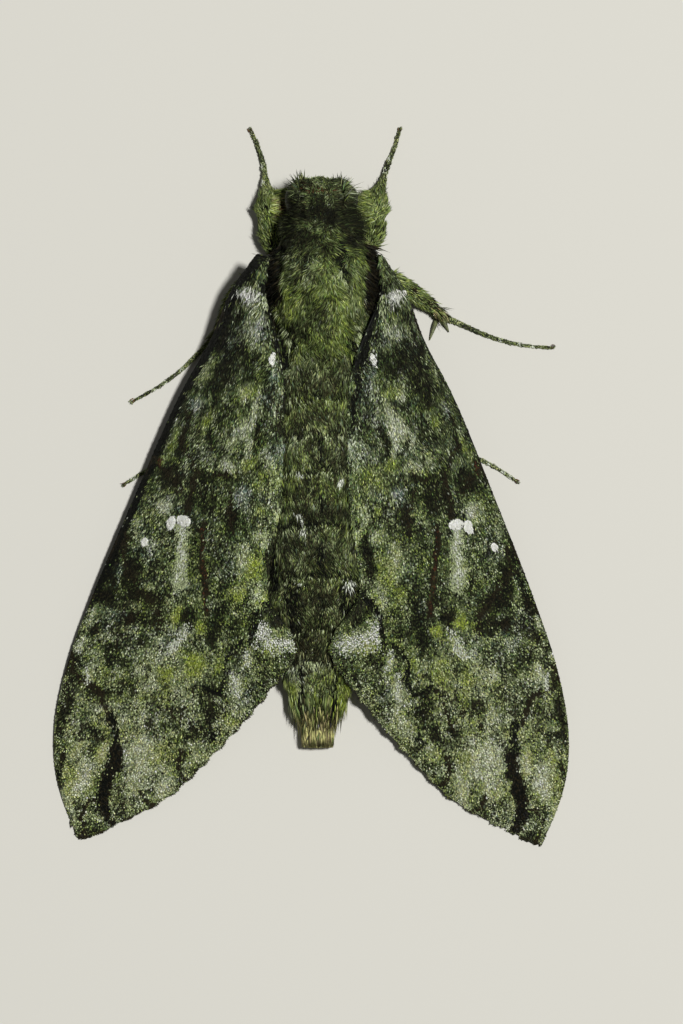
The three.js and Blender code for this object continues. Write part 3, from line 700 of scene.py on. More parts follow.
# A ball of flesh at each hip, where a thigh comes nearest to the trunk, joins the leg to the body.
hip_tree = search_tree("thorax", "abdomen")
for thigh_name in [n for n in LEG_NODES if n.endswith("femur")]:
    thigh = merged_nodes(thigh_name)
    root = min(thigh.verts, key=lambda v: hip_tree.find_nearest(v.co)[3]).co.copy()
    thigh.free()
    socket, _, _, gap = hip_tree.find_nearest(root)
    hip = Matrix.Translation((root + socket) / 2)
    bmesh.ops.create_icosphere(soft, subdivisions=3, radius=HIP_RADIUS * MM, matrix=hip)
    print(thigh_name, "is", round(gap / MM, 2), "mm from the trunk")
soft.normal_update()
for v in soft.verts:
    v.co += v.normal * SWELLING * MM
lump = add_object("swollen", new_mesh("swollen", soft))
melt = lump.modifiers.new("melt", "REMESH")
melt.mode = "VOXEL"
melt.voxel_size = VOXEL * MM
skin_mesh = baked(lump)
bpy.data.objects.remove(lump)
print("melted body:", len(skin_mesh.vertices), "vertices")

# %% [markdown]
# ### Drawing the skin back in
#
# Each vertex moves inwards along its normal by the swelling plus the depth of the coat that grows
# there: deep on the thorax, thin on the feet. A groove is pressed in along each shoulder, where the
# wing's root folds into the fur. A little smoothing before and after hides the voxels' steps.

# %% Skin
def unit(vectors):
    """The same directions, one long."""
    return vectors / np.maximum(np.linalg.norm(vectors, axis=1, keepdims=True), 1e-9)


def nearest_distance(tree, points):
    """Distance in millimetres from each point to a surface."""
    found = [tree.find_nearest(Vector(p))[3] for p in to_frame(points)]
    return np.array(found) / MM


def loose_parts(bm):
    """The vertices of each unconnected part, smallest part first."""
    waiting, parts = set(bm.verts), []
    while waiting:
        part, frontier = [], [waiting.pop()]
        while frontier:
            v = frontier.pop()
            part.append(v)
            for other in [e.other_vert(v) for e in v.link_edges]:
                if other in waiting:
                    waiting.remove(other)
                    frontier.append(other)
        parts.append(part)
    return sorted(parts, key=len)


def even_out(bm, rounds):
    """Smooths a skin by moving each vertex towards its neighbours."""
    for _ in range(rounds):
        bmesh.ops.smooth_vert(
            bm, verts=bm.verts, factor=0.5, use_axis_x=True, use_axis_y=True, use_axis_z=True,
        )


trunk_tree = search_tree(*TRUNK_NODES, *PALP_NODES)
foot_tree = search_tree(*FOOT_NODES)
shin_tree = search_tree(*SHIN_NODES)

skin_bm = bmesh.new()
skin_bm.from_mesh(skin_mesh)
parts = loose_parts(skin_bm)
print("parts of the melted body, in vertices:", [len(part) for part in parts])
for part in parts[:-1]:
    bmesh.ops.delete(skin_bm, geom=part, context="VERTS")
even_out(skin_bm, 4)
skin_bm.normal_update()
skin_bm.verts.ensure_lookup_table()
at = to_moth([v.co[:] for v in skin_bm.verts])
to_trunk = nearest_distance(trunk_tree, at)
to_foot = nearest_distance(foot_tree, at)
to_shin = nearest_distance(shin_tree, at)
is_leg = smooth((to_trunk - np.minimum(to_foot, to_shin) + 0.3) / 0.6)
is_foot = smooth((to_shin - to_foot + 0.4) / 0.8)
depth = np.interp(at[:, 1], *zip(*COAT_DEPTH)) * (1 - is_leg)
depth += (LEG_COAT + (FOOT_COAT - LEG_COAT) * is_foot) * is_leg
upward = np.array([v.normal.z for v in skin_bm.verts])
seam_gap = np.min([path_distance(at[:, 0], at[:, 1], path) for path in SHOULDER_SEAMS], axis=0)
groove = SEAM_DEPTH * smooth((SEAM_REACH - seam_gap) / 0.4) * (upward > 0)
for v, d in zip(skin_bm.verts, depth + groove):
    v.co -= v.normal * (SWELLING + d) * MM
even_out(skin_bm, 2)
bmesh.ops.recalc_face_normals(skin_bm, faces=skin_bm.faces)
if skin_bm.calc_volume(signed=True) < 0:
    bmesh.ops.reverse_faces(skin_bm, faces=skin_bm.faces[:])
skin_bm.to_mesh(skin_mesh)
skin_bm.free()
skin_mesh.name = "body_skin"
skin_mesh.shade_smooth()
skin = add_object("body_skin", skin_mesh)
skin_points = mesh_points(skin_mesh)
low, high = skin_points.min(0).round(2), skin_points.max(0).round(2)
print("skin:", len(skin_mesh.polygons), "faces, from", low, "to", high)

# %% [markdown]
# ## The wing sheets
#
# Under its scales a wing is a clear, thin sheet. Its shape is taken from the upper faces of the
# wing's solid: they are lifted off as one surface, smoothed by a subdivision surface, and lowered a
# little so that the scales have room above. Solidify then gives it a thin, even wall.

# %% Wing sheets
SHEET_DROP = 0.13
SHEET_WALL = 0.16
SHEET_INSET = 0.18
# Faces of a wing's solid that look up at least this much belong to its upper side.
UPPER_FACING = 0.35
# The hind edge of each forewing, S and T, where it lies along the body, and how far it sags onto it
BODY_EDGE = [
    (-3.3, 1.6), (0, 2.2), (2.5, 3.8), (6.2, 5.9), (10, 7.0), (17, 8.7), (22, 9.3), (25.4, 10.1),
    (28.2, 13.25),
]
ROOT_TRIM = {"left": 0.0, "right": 0.9}
SAG = 0.62
SAG_WIDTH = 1.8


def sag_to_body(side, spots):
    """How much lower the wing lies at these places, because its hind edge rests on the fur."""
    s, t = wing_plan(side, spots)
    inside = np.interp(s, *zip(*BODY_EDGE)) - ROOT_TRIM[side] * smooth((8 - s) / 7) - t
    return SAG * smooth(1 - inside / SAG_WIDTH) * smooth((s - 1.0) / 3) * smooth((27.5 - s) / 3)


def wing_sheet(node, name, side, drop):
    """A thin sheet just under the upper face of a wing's solid, its search tree and its rim."""
    bm = merged_nodes(node)
    lower = [f for f in bm.faces if f.normal.z < UPPER_FACING]
    bmesh.ops.delete(bm, geom=lower, context="FACES")
    bmesh.ops.join_triangles(
        bm, faces=bm.faces, angle_face_threshold=1.2, angle_shape_threshold=1.2,
    )
    rim = [v for v in bm.verts if v.is_boundary]
    inward = [sum((f.calc_center_median() - v.co for f in v.link_faces), Vector()) for v in rim]
    for v, step in zip(rim, inward):
        v.co += step.normalized() * SHEET_INSET * MM
    rough = add_object(name, new_mesh(name, bm))
    smoothing = rough.modifiers.new("smoothing", "SUBSURF")
    smoothing.levels = smoothing.render_levels = 2
    fine = baked(rough)
    bpy.data.objects.remove(rough)
    bm = bmesh.new()
    bm.from_mesh(fine)
    spots = to_moth([v.co[:] for v in bm.verts])
    low = drop + sag_to_body(side, spots) * (1.0 if node.startswith("fore") else 0.0)
    for v, d in zip(bm.verts, low):
        v.co.z -= d * MM
    bm.normal_update()
    if sum(f.normal.z for f in bm.faces) < 0:
        bmesh.ops.reverse_faces(bm, faces=bm.faces)
    tree = BVHTree.FromBMesh(bm)
    edge_middle, edge_along, edge_out = [], [], []
    for e in bm.edges:
        if e.is_boundary:
            middle = (e.verts[0].co + e.verts[1].co) / 2
            edge_middle.append(middle[:])
            edge_along.append((e.verts[1].co - e.verts[0].co)[:])
            edge_out.append((middle - e.link_faces[0].calc_center_median())[:])
    rim = {
        "at": to_moth(edge_middle),
        "along": np.array(edge_along) / MM,
        "out": unit(np.array(edge_out)),
    }
    bmesh.ops.solidify(bm, geom=bm.faces, thickness=SHEET_WALL * MM)
    bmesh.ops.recalc_face_normals(bm, faces=bm.faces)
    bm.to_mesh(fine)
    bm.free()
    fine.name = name
    fine.shade_smooth()
    sheet = add_object(name, fine)
    print(name, "has", len(fine.polygons), "faces")
    return sheet, tree, rim


sheets, wing_trees, wing_rims = {}, {}, {}
for side in WINGS:
    for kind in ("fore", "hind"):
        made = wing_sheet(f"{kind}wing_{side}", f"{kind}wing_sheet_{side}", side, SHEET_DROP)
        sheets[kind, side], wing_trees[kind, side], wing_rims[kind, side] = made

# %% [markdown]
# ## One scale, many times
#
# A scale is a flat kite with a ridge across its shoulders: four corners and four faces, closed all
# round. A long narrow kite reads as a hair and a short wide one as a shingle, so one shape will do
# for the whole coat. Hundreds of thousands of them are placed by arrays, because a loop in Python
# would take minutes, and each carries its own colour and its own tiny patch of the surface map.

# %% Scale maker
SCALE_FACES = np.array([(0, 2, 1), (1, 2, 3), (0, 1, 3), (0, 3, 2)])
PATCH = 0.003
PATCH_CORNERS = np.array([(0, 0), (0, 1), (1, 0), (1, 1)]) * PATCH
# A scale's root is sunk into the skin by this much, and is shaded, as light hardly gets there.
ROOT_SINK = 0.04
ROOT_SHADE = 0.45
# No scale reaches under the floor or out of the solids' box.
FLOOR_GAP = 0.02
BOX_LOW = to_moth(solid_low) + np.array([0, 0, FLOOR_GAP])
BOX_HIGH = to_moth(solid_high)


def grow(
    name, roots, normals, lie, length, width, lift, colours, patch_at,
    shoulder=0.55, ridge=0.25, droop=0.0,
):
    """One mesh of scales. Lengths are in millimetres and lift in radians above the skin."""
    count = len(roots)
    length = np.broadcast_to(length, count)[:, None]
    width = np.broadcast_to(width, count)[:, None]
    lift = np.broadcast_to(lift, count)[:, None]
    lie = unit(lie - normals * (lie * normals).sum(1, keepdims=True))
    across = np.cross(normals, lie)
    ahead = lie * np.cos(lift) + normals * np.sin(lift)
    upward = normals * np.cos(lift) - lie * np.sin(lift)
    mid = roots + ahead * length * shoulder + upward * width * ridge
    corners = np.stack([
        roots - normals * ROOT_SINK,
        mid + across * width / 2,
        mid - across * width / 2,
        roots + ahead * length - normals * droop * length,
    ], axis=1)
    corners = np.clip(corners, BOX_LOW, BOX_HIGH)
    mesh = bpy.data.meshes.new(name)
    mesh.vertices.add(count * 4)
    mesh.vertices.foreach_set("co", to_frame(corners.reshape(-1, 3)).astype(np.float32).ravel())
    faces = (SCALE_FACES[None] + 4 * np.arange(count)[:, None, None]).reshape(-1, 3)
    mesh.loops.add(faces.size)
    mesh.loops.foreach_set("vertex_index", faces.ravel().astype(np.int32))
    mesh.polygons.add(len(faces))
    mesh.polygons.foreach_set("loop_start", np.arange(0, faces.size, 3, dtype=np.int32))
    mesh.update(calc_edges=True)
    shades = np.repeat(colours[:, None, :], 4, axis=1)
    shades[:, 0] *= ROOT_SHADE
    store_pigment(mesh, shades.reshape(-1, 3))
    layer = mesh.uv_layers.new(name="OFBake")
    uv = patch_at[:, None, :] * (1 - PATCH) + PATCH_CORNERS[None]
    layer.data.foreach_set("uv", uv.reshape(-1, 2)[faces.ravel()].astype(np.float32).ravel())
    piece = add_object(name, mesh)
    print(name, "has", count, "scales")
    return piece


def spread_values(rng, middle, share, count):
    """Random sizes round a middle value."""
    return middle * np.exp(rng.normal(0, share, count))


# %% [markdown]
# ## Scales on the wings
#
# Wing scales overlap like roof tiles from the base to the edge, so the roots go on a jittered grid
# in the wing's plan, dropped onto the sheet. Near the body they are long and hair-like, further out
# they are short and broad. Along the front edge they turn to run with the edge, which keeps the
# outline clean. The underside gets a plainer, sparser coat of its own.

# %% Places on a wing
WING_CELL = 0.110
UNDER_CELL = 0.24
EDGE_ZONE = 0.8
ROOT_S_RANGE = (-3.4, TIP_S)
ROOT_T_RANGE = (-6.2, 14.0)
# From this S on, the hind edge stands clear of the body.
REAR_CORNER_S = 27.3
# Places are dropped onto a wing from well above the moth.
DROP_HEIGHT = 20.0
DOWN = Vector((0, 0, -1))
UP = Vector((0, 0, 1))


def wing_axes(side):
    """Directions along and across a wing, away from the hinge and towards the body."""
    w = WINGS[side]
    along = np.array([math.sin(w["turn"]), -math.cos(w["turn"]), 0.0])
    inwards = np.array([math.cos(w["turn"]), math.sin(w["turn"]), 0.0]) * w["inward"]
    return along, inwards


for (kind, side), rim in wing_rims.items():
    along, inwards = wing_axes(side)
    rim["s"] = wing_plan(side, rim["at"])[0]
    rim["length"] = np.linalg.norm(rim["along"], axis=1)
    heading = np.sign(rim["along"] @ along + 1e-9)[:, None]
    rim["along"] = unit(rim["along"]) * heading
    rim["hind"] = rim["out"] @ inwards > 0.12
    rim["outer"] = rim["hind"] & (rim["s"] > REAR_CORNER_S)
    print(kind, side, "wing has", len(rim["at"]), "places on its rim")


def nearest_rim(rim, points):
    """For each point, the number of the nearest rim place and how far it is, seen from above."""
    tree = KDTree(len(rim["at"]))
    for i, (x, y, _) in enumerate(rim["at"]):
        tree.insert((x, y, 0), i)
    tree.balance()
    found = [tree.find((x, y, 0))[1:] for x, y in points[:, :2]]
    return np.array([f[0] for f in found]), np.array([f[1] for f in found])


def drop_on_wing(kind, side, s, t):
    """Drops places onto a wing sheet: which of them land on it, where, and the normals there."""
    x, y = wing_place(side, s, t)
    starts = to_frame(np.column_stack([x, y, np.full(len(x), DROP_HEIGHT)]))
    hits = [wing_trees[kind, side].ray_cast(Vector(p), DOWN) for p in starts]
    landed = [i for i, hit in enumerate(hits) if hit[0] is not None]
    places = to_moth([hits[i][0][:] for i in landed])
    return landed, places, unit(np.array([hits[i][1][:] for i in landed]))


def wing_roots(kind, side, cell, seed):
    """Jittered places on a wing sheet: the points, the sheet's normals there, S and T."""
    rng = np.random.default_rng(seed)
    s_line = np.arange(*ROOT_S_RANGE, cell)
    t_line = np.arange(*ROOT_T_RANGE, cell)
    s, t = (g.ravel() for g in np.meshgrid(s_line, t_line, indexing="ij"))
    s = s + rng.uniform(-0.5, 0.5, len(s)) * cell
    t = t + rng.uniform(-0.5, 0.5, len(t)) * cell
    landed, places, normals = drop_on_wing(kind, side, s, t)
    return places, normals, s[landed], t[landed]


def wing_lie(kind, side, places, s, t, rng, wander):
    """The way the scales point: along the wing, fanning out, and with the edge where it is near."""
    along, inwards = wing_axes(side)
    fan = np.radians(np.clip(t, -4, 12) * 2.2) * smooth((s - 8) / 20)
    swirl = (0.22 + 0.2 * smooth((16 - s) / 10)) * mottle(s, t, 1.8, 31)
    angle = fan + swirl + rng.normal(0, 1, len(s)) * wander
    lie = np.cos(angle)[:, None] * along + np.sin(angle)[:, None] * inwards
    rim = wing_rims[kind, side]
    number, away = nearest_rim(rim, places)
    beside = (1 - rim["outer"][number]) * smooth((EDGE_ZONE - away) / EDGE_ZONE)
    lie = lie * (1 - beside)[:, None] + rim["along"][number] * beside[:, None]
    over = rim["outer"][number] * smooth((EDGE_ZONE - away) / EDGE_ZONE) * 0.6
    lie = lie * (1 - over)[:, None] + rim["out"][number] * over[:, None]
    return lie, away


def wing_patch(s, t):
    """The surface map of a wing is its own plan, squeezed into a square."""
    return np.column_stack([(s + 4) / 56, (t + 6.5) / 21])


# %% [markdown]
# ### The upper side
#
# Most of a forewing's look is these shingles. Near the hinge they lengthen into hairs that stand up
# a little, and beside the edge they are smaller and lie flat, so that the outline stays crisp. The
# white spots are thick little tufts of their own, which catch more light than flat scales would.

# %% Upper scales and white tufts
# Centre S and T, radii, number of scales
WHITE_TUFTS = (
    (20.8, 0.9, 0.42, 0.6, 420), (21.3, -0.12, 0.58, 0.34, 380), (23.6, -1.9, 0.34, 0.26, 150),
    (5.1, 4.3, 0.5, 0.2, 120), (0.1, 0.9, 0.35, 0.9, 260),
)


def grow_upper_scales(side, number, rng):
    """The shingles of a forewing's upper side."""
    places, normals, s, t = wing_roots("fore", side, WING_CELL, 40 + number)
    count = len(s)
    basal = smooth((26 - s) / 16)
    tuft = smooth((4.5 - s) / 4.0)
    coat = forewing_coat(side, s, t, 60 + number)
    lie, away = wing_lie("fore", side, places, s, t, rng, 0.20 + 0.08 * basal)
    near_edge = smooth((0.45 - away) / 0.4)
    length = spread_values(rng, 0.29 + 0.22 * basal + 0.35 * tuft, 0.18, count)
    length = length * (1 - 0.25 * near_edge)
    width = spread_values(rng, 0.125 - 0.045 * basal, 0.15, count) * (1 - 0.3 * near_edge)
    lift = np.clip(rng.normal(0.17 + 0.10 * tuft, 0.09, count), 0.02, 0.6) * (1 - 0.7 * near_edge)
    return grow(
        f"forewing_scales_{side}", places, normals, lie, length, width, lift,
        coat.colours(0.30, 0.10 + 0.14 * basal), wing_patch(s, t), shoulder=0.6,
    )


def grow_white_tufts(side, number, rng):
    """The white spots of a forewing."""
    drift_s, drift_t = WINGS[side]["drift"]
    spot_s, spot_t = [], []
    for at_s, at_t, long, wide, total in WHITE_TUFTS:
        ring = np.sqrt(rng.random(total))
        angle = rng.uniform(0, 2 * math.pi, total)
        spot_s.append(at_s + drift_s + ring * long * np.cos(angle))
        spot_t.append(at_t + drift_t + ring * wide * np.sin(angle))
    s, t = np.concatenate(spot_s), np.concatenate(spot_t)
    landed, places, up = drop_on_wing("fore", side, s, t)
    s, t = s[landed], t[landed]
    coat = Coat(s, t, 62 + number)
    coat.cover("white", np.full(len(s), 0.86))
    coat.cover("frost", np.where(coat.marked, 0.0, 1.0))
    along, _ = wing_axes(side)
    return grow(
        f"white_tufts_{side}", places, up, along + rng.normal(0, 0.2, (len(s), 3)),
        spread_values(rng, 0.34, 0.15, len(s)), spread_values(rng, 0.10, 0.15, len(s)),
        np.clip(rng.normal(0.45, 0.1, len(s)), 0.1, 0.8), coat.colours(), wing_patch(s, t),
    )


# %% [markdown]
# ### The fringes
#
# A moth's wing ends in a fringe. It is short along the outer margin, where it is fainter and darker
# at the end of each vein and so gives the margin its scallops. On the hind margin it grows into
# long hairs that lap over the body, and at the shoulder it hides where the wing joins the thorax.

# %% Fringes
SCALLOP = 1.7


def grow_fringes(side, number, rng):
    """The fringes round a forewing's rim: name, where, number, length, width, lift and droop."""
    rim = wing_rims["fore", side]
    along, _ = wing_axes(side)
    fringes = []
    for name, chosen, total, size, breadth, tilt, sag in (
        ("shoulder_fringe", rim["s"] < 1.0, 1800, 0.55, 0.075, 0.12, 0.25),
        ("outer_fringe", rim["outer"], 4200, 0.20, 0.085, 0.0, 0.05),
        ("body_fringe", rim["hind"] & (rim["s"] < REAR_CORNER_S), 4200, 0.85, 0.07, 0.06, 0.30),
    ):
        picks = np.flatnonzero(chosen)
        share = rim["length"][picks] / rim["length"][picks].sum()
        pick = rng.choice(picks, total, p=share)
        slide = rng.uniform(-0.5, 0.5, total) * rim["length"][pick]
        back = rng.uniform(*((0.02, 0.22) if name == "outer_fringe" else (0.05, 1.1)), total)
        outwards = rim["out"][pick]
        at_rim = rim["at"][pick] + rim["along"][pick] * slide[:, None] - outwards * back[:, None]
        hits = [wing_trees["fore", side].find_nearest(Vector(p)) for p in to_frame(at_rim)]
        at_rim = to_moth([h[0][:] for h in hits])
        up = unit(np.array([h[1][:] for h in hits]))
        s, t = wing_plan(side, at_rim)
        reach = spread_values(rng, size, 0.2, total)
        if name == "outer_fringe":
            scallop = np.cos(2 * math.pi * s / SCALLOP)
            reach = reach * (1.1 + 0.6 * scallop)
            lie = outwards + 0.35 * along + rng.normal(0, 0.12, (total, 3))
            coat = forewing_coat(side, s, t, 64 + number)
            coat.cover("umber", 0.5 * smooth((0.16 - back) / 0.1))
            coat.cover("black", 0.6 * smooth((-0.2 - scallop) / 0.5))
        else:
            lie = along + outwards * rng.uniform(0.0, 0.5, total)[:, None]
            lie = lie + rng.normal(0, 0.15, (total, 3))
            coat = forewing_coat(side, s, t, 66 + number)
        width = spread_values(rng, breadth, 0.15, total)
        lift = np.clip(rng.normal(tilt, 0.06, total), -0.1, 0.4)
        fringes.append(grow(
            f"{name}_{side}", at_rim, up, lie, reach, width, lift, coat.colours(),
            wing_patch(s, t), droop=sag,
        ))
    return fringes


# %% [markdown]
# ### The plain sides
#
# The underside of both wings and the upper side of the hindwing are hidden at rest. They get wide,
# flat scales of a plain olive-grey, a little paler to the edge, trimmed short near the rim.

# %% Plain coats
def grow_plain_coats(side, number):
    """The underside of both wings, and the upper side of the hindwing."""
    coats = []
    for kind in ("fore", "hind"):
        places, normals, s, t = wing_roots(kind, side, UNDER_CELL, 70 + number)
        rng = np.random.default_rng(72 + number)
        below = Coat(s, t, 74 + number)
        below.lean(
            brown=1.0 + 0.4 * mottle(s, t, 4.0, 12),
            light=0.25 + 0.4 * mottle(s, t, 3.0, 13) + 0.3 * smooth((s - 30) / 15),
            frost=0.4, lime=-0.5,
        )
        below.draw()
        lie, away = wing_lie(kind, side, places, s, t, rng, 0.12)
        reach = np.minimum(spread_values(rng, 0.60, 0.12, len(s)), 0.14 + 0.9 * away)
        width = np.minimum(reach, spread_values(rng, 0.30, 0.12, len(s)))
        coats.append(grow(
            f"{kind}wing_underside_{side}", places - normals * SHEET_WALL, -normals, lie, reach,
            width, 0.07, below.colours(), wing_patch(s, t), shoulder=0.65, ridge=0.12,
        ))
        if kind == "hind":
            upper = Coat(s, t, 76 + number)
            upper.lean(brown=1.2, light=-0.2 + 0.4 * mottle(s, t, 3.0, 14))
            upper.draw()
            width = np.minimum(reach, spread_values(rng, 0.30, 0.12, len(s)))
            coats.append(grow(
                f"hindwing_scales_{side}", places, normals, lie, reach,
                width, 0.05, upper.colours(), wing_patch(s, t), shoulder=0.65, ridge=0.12,
            ))
    return coats


# %% Grow the coats of both wings
wing_coats = []
for number, side in enumerate(WINGS):
    rng = np.random.default_rng(50 + number)
    wing_coats.append(grow_upper_scales(side, number, rng))
    wing_coats.append(grow_white_tufts(side, number, rng))
    wing_coats += grow_fringes(side, number, rng)
    wing_coats += grow_plain_coats(side, number)

# %% [markdown]
# ## Fur on the body
#
# The fur follows the body from the face to the tail and stands up most on the thorax. Roots are
# scattered over the bare skin by area, and the lie is the backward direction laid flat on the skin,
# turned outwards on the flanks and stirred, because real fur is never combed straight. Beside a
# wing the hairs stand up to meet its edge, and under a wing they are pressed short.

# %% Places on the skin
# The thorax ends at this Y, and the tail's brush begins a little behind the abdomen's last ring.
WAIST_Y = 9.8
BELLY_END_Y = -19.5
TAIL_START_Y = -17.5
skin_mesh.calc_loop_triangles()
corner = np.zeros(len(skin_mesh.loop_triangles) * 3, np.int32)
skin_mesh.loop_triangles.foreach_get("vertices", corner)
corner = corner.reshape(-1, 3)
skin_normals = np.zeros(len(skin_mesh.vertices) * 3)
skin_mesh.vertices.foreach_get("normal", skin_normals)
skin_normals = skin_normals.reshape(-1, 3)
a, b, c = (skin_points[corner[:, k]] for k in range(3))
triangle_area = np.linalg.norm(np.cross(b - a, c - a), axis=1) / 2
triangle_leg = is_leg[corner].mean(1)
triangle_normal = skin_normals[corner].mean(1)
triangle_up = triangle_normal[:, 2]
triangle_middle = (a + b + c) / 3
triangle_x, triangle_y = triangle_middle[:, 0], triangle_middle[:, 1]
triangle_aside = np.abs(triangle_x - midline(triangle_y))


def under_wing(points):
    """1 for each point that has a forewing straight above it."""
    covered = np.zeros(len(points))
    for i, p in enumerate(to_frame(points)):
        for side in WINGS:
            if wing_trees["fore", side].ray_cast(Vector(p), UP)[0] is not None:
                covered[i] = 1
                break
    return covered


def wing_gap(points):
    """Distance from each point to the nearer forewing's rim, seen from above."""
    gaps = [nearest_rim(wing_rims["fore", side], points)[1] for side in WINGS]
    return np.minimum(*gaps)


def scatter(weights, count, seed):
    """Random places on the skin: the points and smooth normals."""
    rng = np.random.default_rng(seed)
    pick = np.sort(rng.choice(len(weights), count, p=weights / weights.sum()))
    u, v = rng.random(count), rng.random(count)
    flip = u + v > 1
    u[flip], v[flip] = 1 - u[flip], 1 - v[flip]
    share = np.column_stack([1 - u - v, u, v])
    spot = (skin_points[corner[pick]] * share[:, :, None]).sum(1)
    normal = unit((skin_normals[corner[pick]] * share[:, :, None]).sum(1))
    return spot, normal


def body_lie(points, rng, wander, swirl_size, swirl):
    """Backwards along the body, outwards on the flanks, upwards on the face."""
    x, y = points[:, 0], points[:, 1]
    x = x - midline(y)
    side = 0.4 * np.tanh(x / 3) * smooth((y - 9) / 6) * smooth((23.5 - y) / 3)
    turn = swirl * mottle(x, y, swirl_size, 33) + rng.normal(0, 1, len(x)) * wander
    lie = np.column_stack([side + turn, -np.ones(len(x)), np.zeros(len(x))])
    lie[:, 2] += 1.2 * smooth((y - 25) / 2)
    return lie


def trunk_patch(points):
    """The surface map of the trunk is unrolled: round the body one way and along it the other."""
    x, y, z = points.T
    middle = np.interp(y, [-23, 0, 16, 27.5], [1.8, 5.3, 7.5, 7.0])
    round_body = np.arctan2(x - midline(y), z - middle) / (2 * math.pi) + 0.5
    return np.column_stack([round_body, (y + 24) / 52])


def lift_to(way, normals, low=-0.1, high=1.3):
    """How far a hair must stand up from the skin to point this way."""
    return np.clip(np.arcsin(np.clip((way * normals).sum(1), -1, 1)), low, high)


skin_cover = under_wing(triangle_middle)
visible = np.where(skin_cover > 0.5, 0.30, np.where(triangle_up > -0.2, 1.0, 0.5))
trunk_weight = triangle_area * (triangle_leg < 0.5) * visible
thorax_weight = trunk_weight * (triangle_y > WAIST_Y)
belly_weight = trunk_weight * (triangle_y <= WAIST_Y) * (triangle_y > BELLY_END_Y)
tail_weight = trunk_weight * (triangle_y <= TAIL_START_Y)
print("skin:", len(corner), "triangles,", int((skin_cover > 0.5).sum()), "of them under a wing")

# %% [markdown]
# ### Thorax and abdomen
#
# Light hairs are the longest and stand up most, so the coat looks tipped with colour. In the black
# seams at the shoulders the hairs are short and pressed down, which leaves a real groove.

# %% Thorax and abdomen fur
THORAX_HAIRS = 49000
ABDOMEN_HAIRS = 45000
body_coats = []
for name, weights, count, seed in (
    ("thorax_fur", thorax_weight, THORAX_HAIRS, 80),
    ("abdomen_fur", belly_weight, ABDOMEN_HAIRS, 81),
):
    places, normals = scatter(weights, count, seed)
    rng = np.random.default_rng(seed + 10)
    x, y = places[:, 0], places[:, 1]
    coat = body_coat(places, normals, seed)
    covered = under_wing(places)
    beside = smooth((1.5 - wing_gap(places)) / 1.2) * (1 - covered)
    beside = beside * (normals[:, 2] > -0.1) * (y < 13)
    clump = mottle(x, y, 0.32, 21)
    if name == "abdomen_fur":
        mark_abdomen(coat, normals)
        length = spread_values(rng, 0.60, 0.2, count) * (1 + 0.5 * beside)
        width = spread_values(rng, 0.075, 0.15, count)
        lift = rng.normal(0.26, 0.10, count) + 0.14 * clump + 0.25 * beside
        lift = np.clip(lift, 0.02, 1.0)
        lie = body_lie(places, rng, 0.22, 1.1, 0.45)
    else:
        crown = smooth((y - 22.0) / 1.5)
        bright = PIGMENT_TRAITS[coat.pigment, 0]
        seam = np.min([path_distance(x, y, path) for path in SHOULDER_SEAMS], axis=0)
        in_seam = smooth((0.50 - seam) / 0.25) * (normals[:, 2] > -0.1)
        length = spread_values(rng, 0.78 - 0.36 * crown, 0.22, count) * (1 + 0.08 * bright)
        length = length * (1 - 0.6 * in_seam) * (1 + 0.3 * beside)
        width = spread_values(rng, 0.066, 0.15, count)
        lift = rng.normal(0.42 + 0.05 * bright, 0.16, count) + 0.2 * clump + 0.2 * beside
        lift = np.clip(lift, 0.03, 1.0) * (1 - 0.8 * in_seam)
        lie = body_lie(places, rng, 0.40, 0.8, 0.85)
    length = length * (1 - 0.4 * covered)
    lift = lift * (1 - 0.7 * covered)
    body_coats.append(grow(
        name, places, normals, lie, length, width, lift, coat.colours(calm=0.5),
        trunk_patch(places), shoulder=0.4, ridge=0.35, droop=0.1,
    ))

# %% [markdown]
# ### Flanks and brow
#
# Long hairs on the flanks fill the gap between the thorax and the roots of the wings; they are
# umber and black, painted shade of that gap. Brow hairs sweep outwards from the crown, over the
# roots of the feelers and half of each eye. Both are aimed in space first, and then stand up from
# the skin as far as that takes.

# %% Flank and brow hairs
FLANK_TOTAL = 7600
flank_weight = trunk_weight * (triangle_y > 13.5) * (triangle_y < 22.3) * (triangle_aside > 3.3)
flank_weight = flank_weight * (triangle_up > -0.8) * (triangle_up < 0.42) / np.maximum(visible, 0.1)
places, normals = scatter(flank_weight, FLANK_TOTAL, 86)
rng = np.random.default_rng(97)
coat = body_coat(places, normals, 86)
# All umber and black: painted shade for the gap these hairs fill.
coat.cover("umber", np.full(FLANK_TOTAL, 1.0))
coat.cover("black", np.full(FLANK_TOTAL, 0.5))
aside = np.sign(places[:, 0] - midline(places[:, 1]))
way = unit(np.column_stack([
    aside, rng.uniform(-1.3, -0.2, FLANK_TOTAL), rng.uniform(-0.7, 0.1, FLANK_TOTAL),
]))
body_coats.append(grow(
    "flank_hairs", places, normals, way,
    spread_values(rng, 1.1, 0.2, FLANK_TOTAL) * (1 + 0.4 * smooth((places[:, 1] - 16.5) / 2)),
    spread_values(rng, 0.08, 0.15, FLANK_TOTAL), lift_to(way, normals), coat.colours(),
    trunk_patch(places), shoulder=0.4, droop=0.1,
))

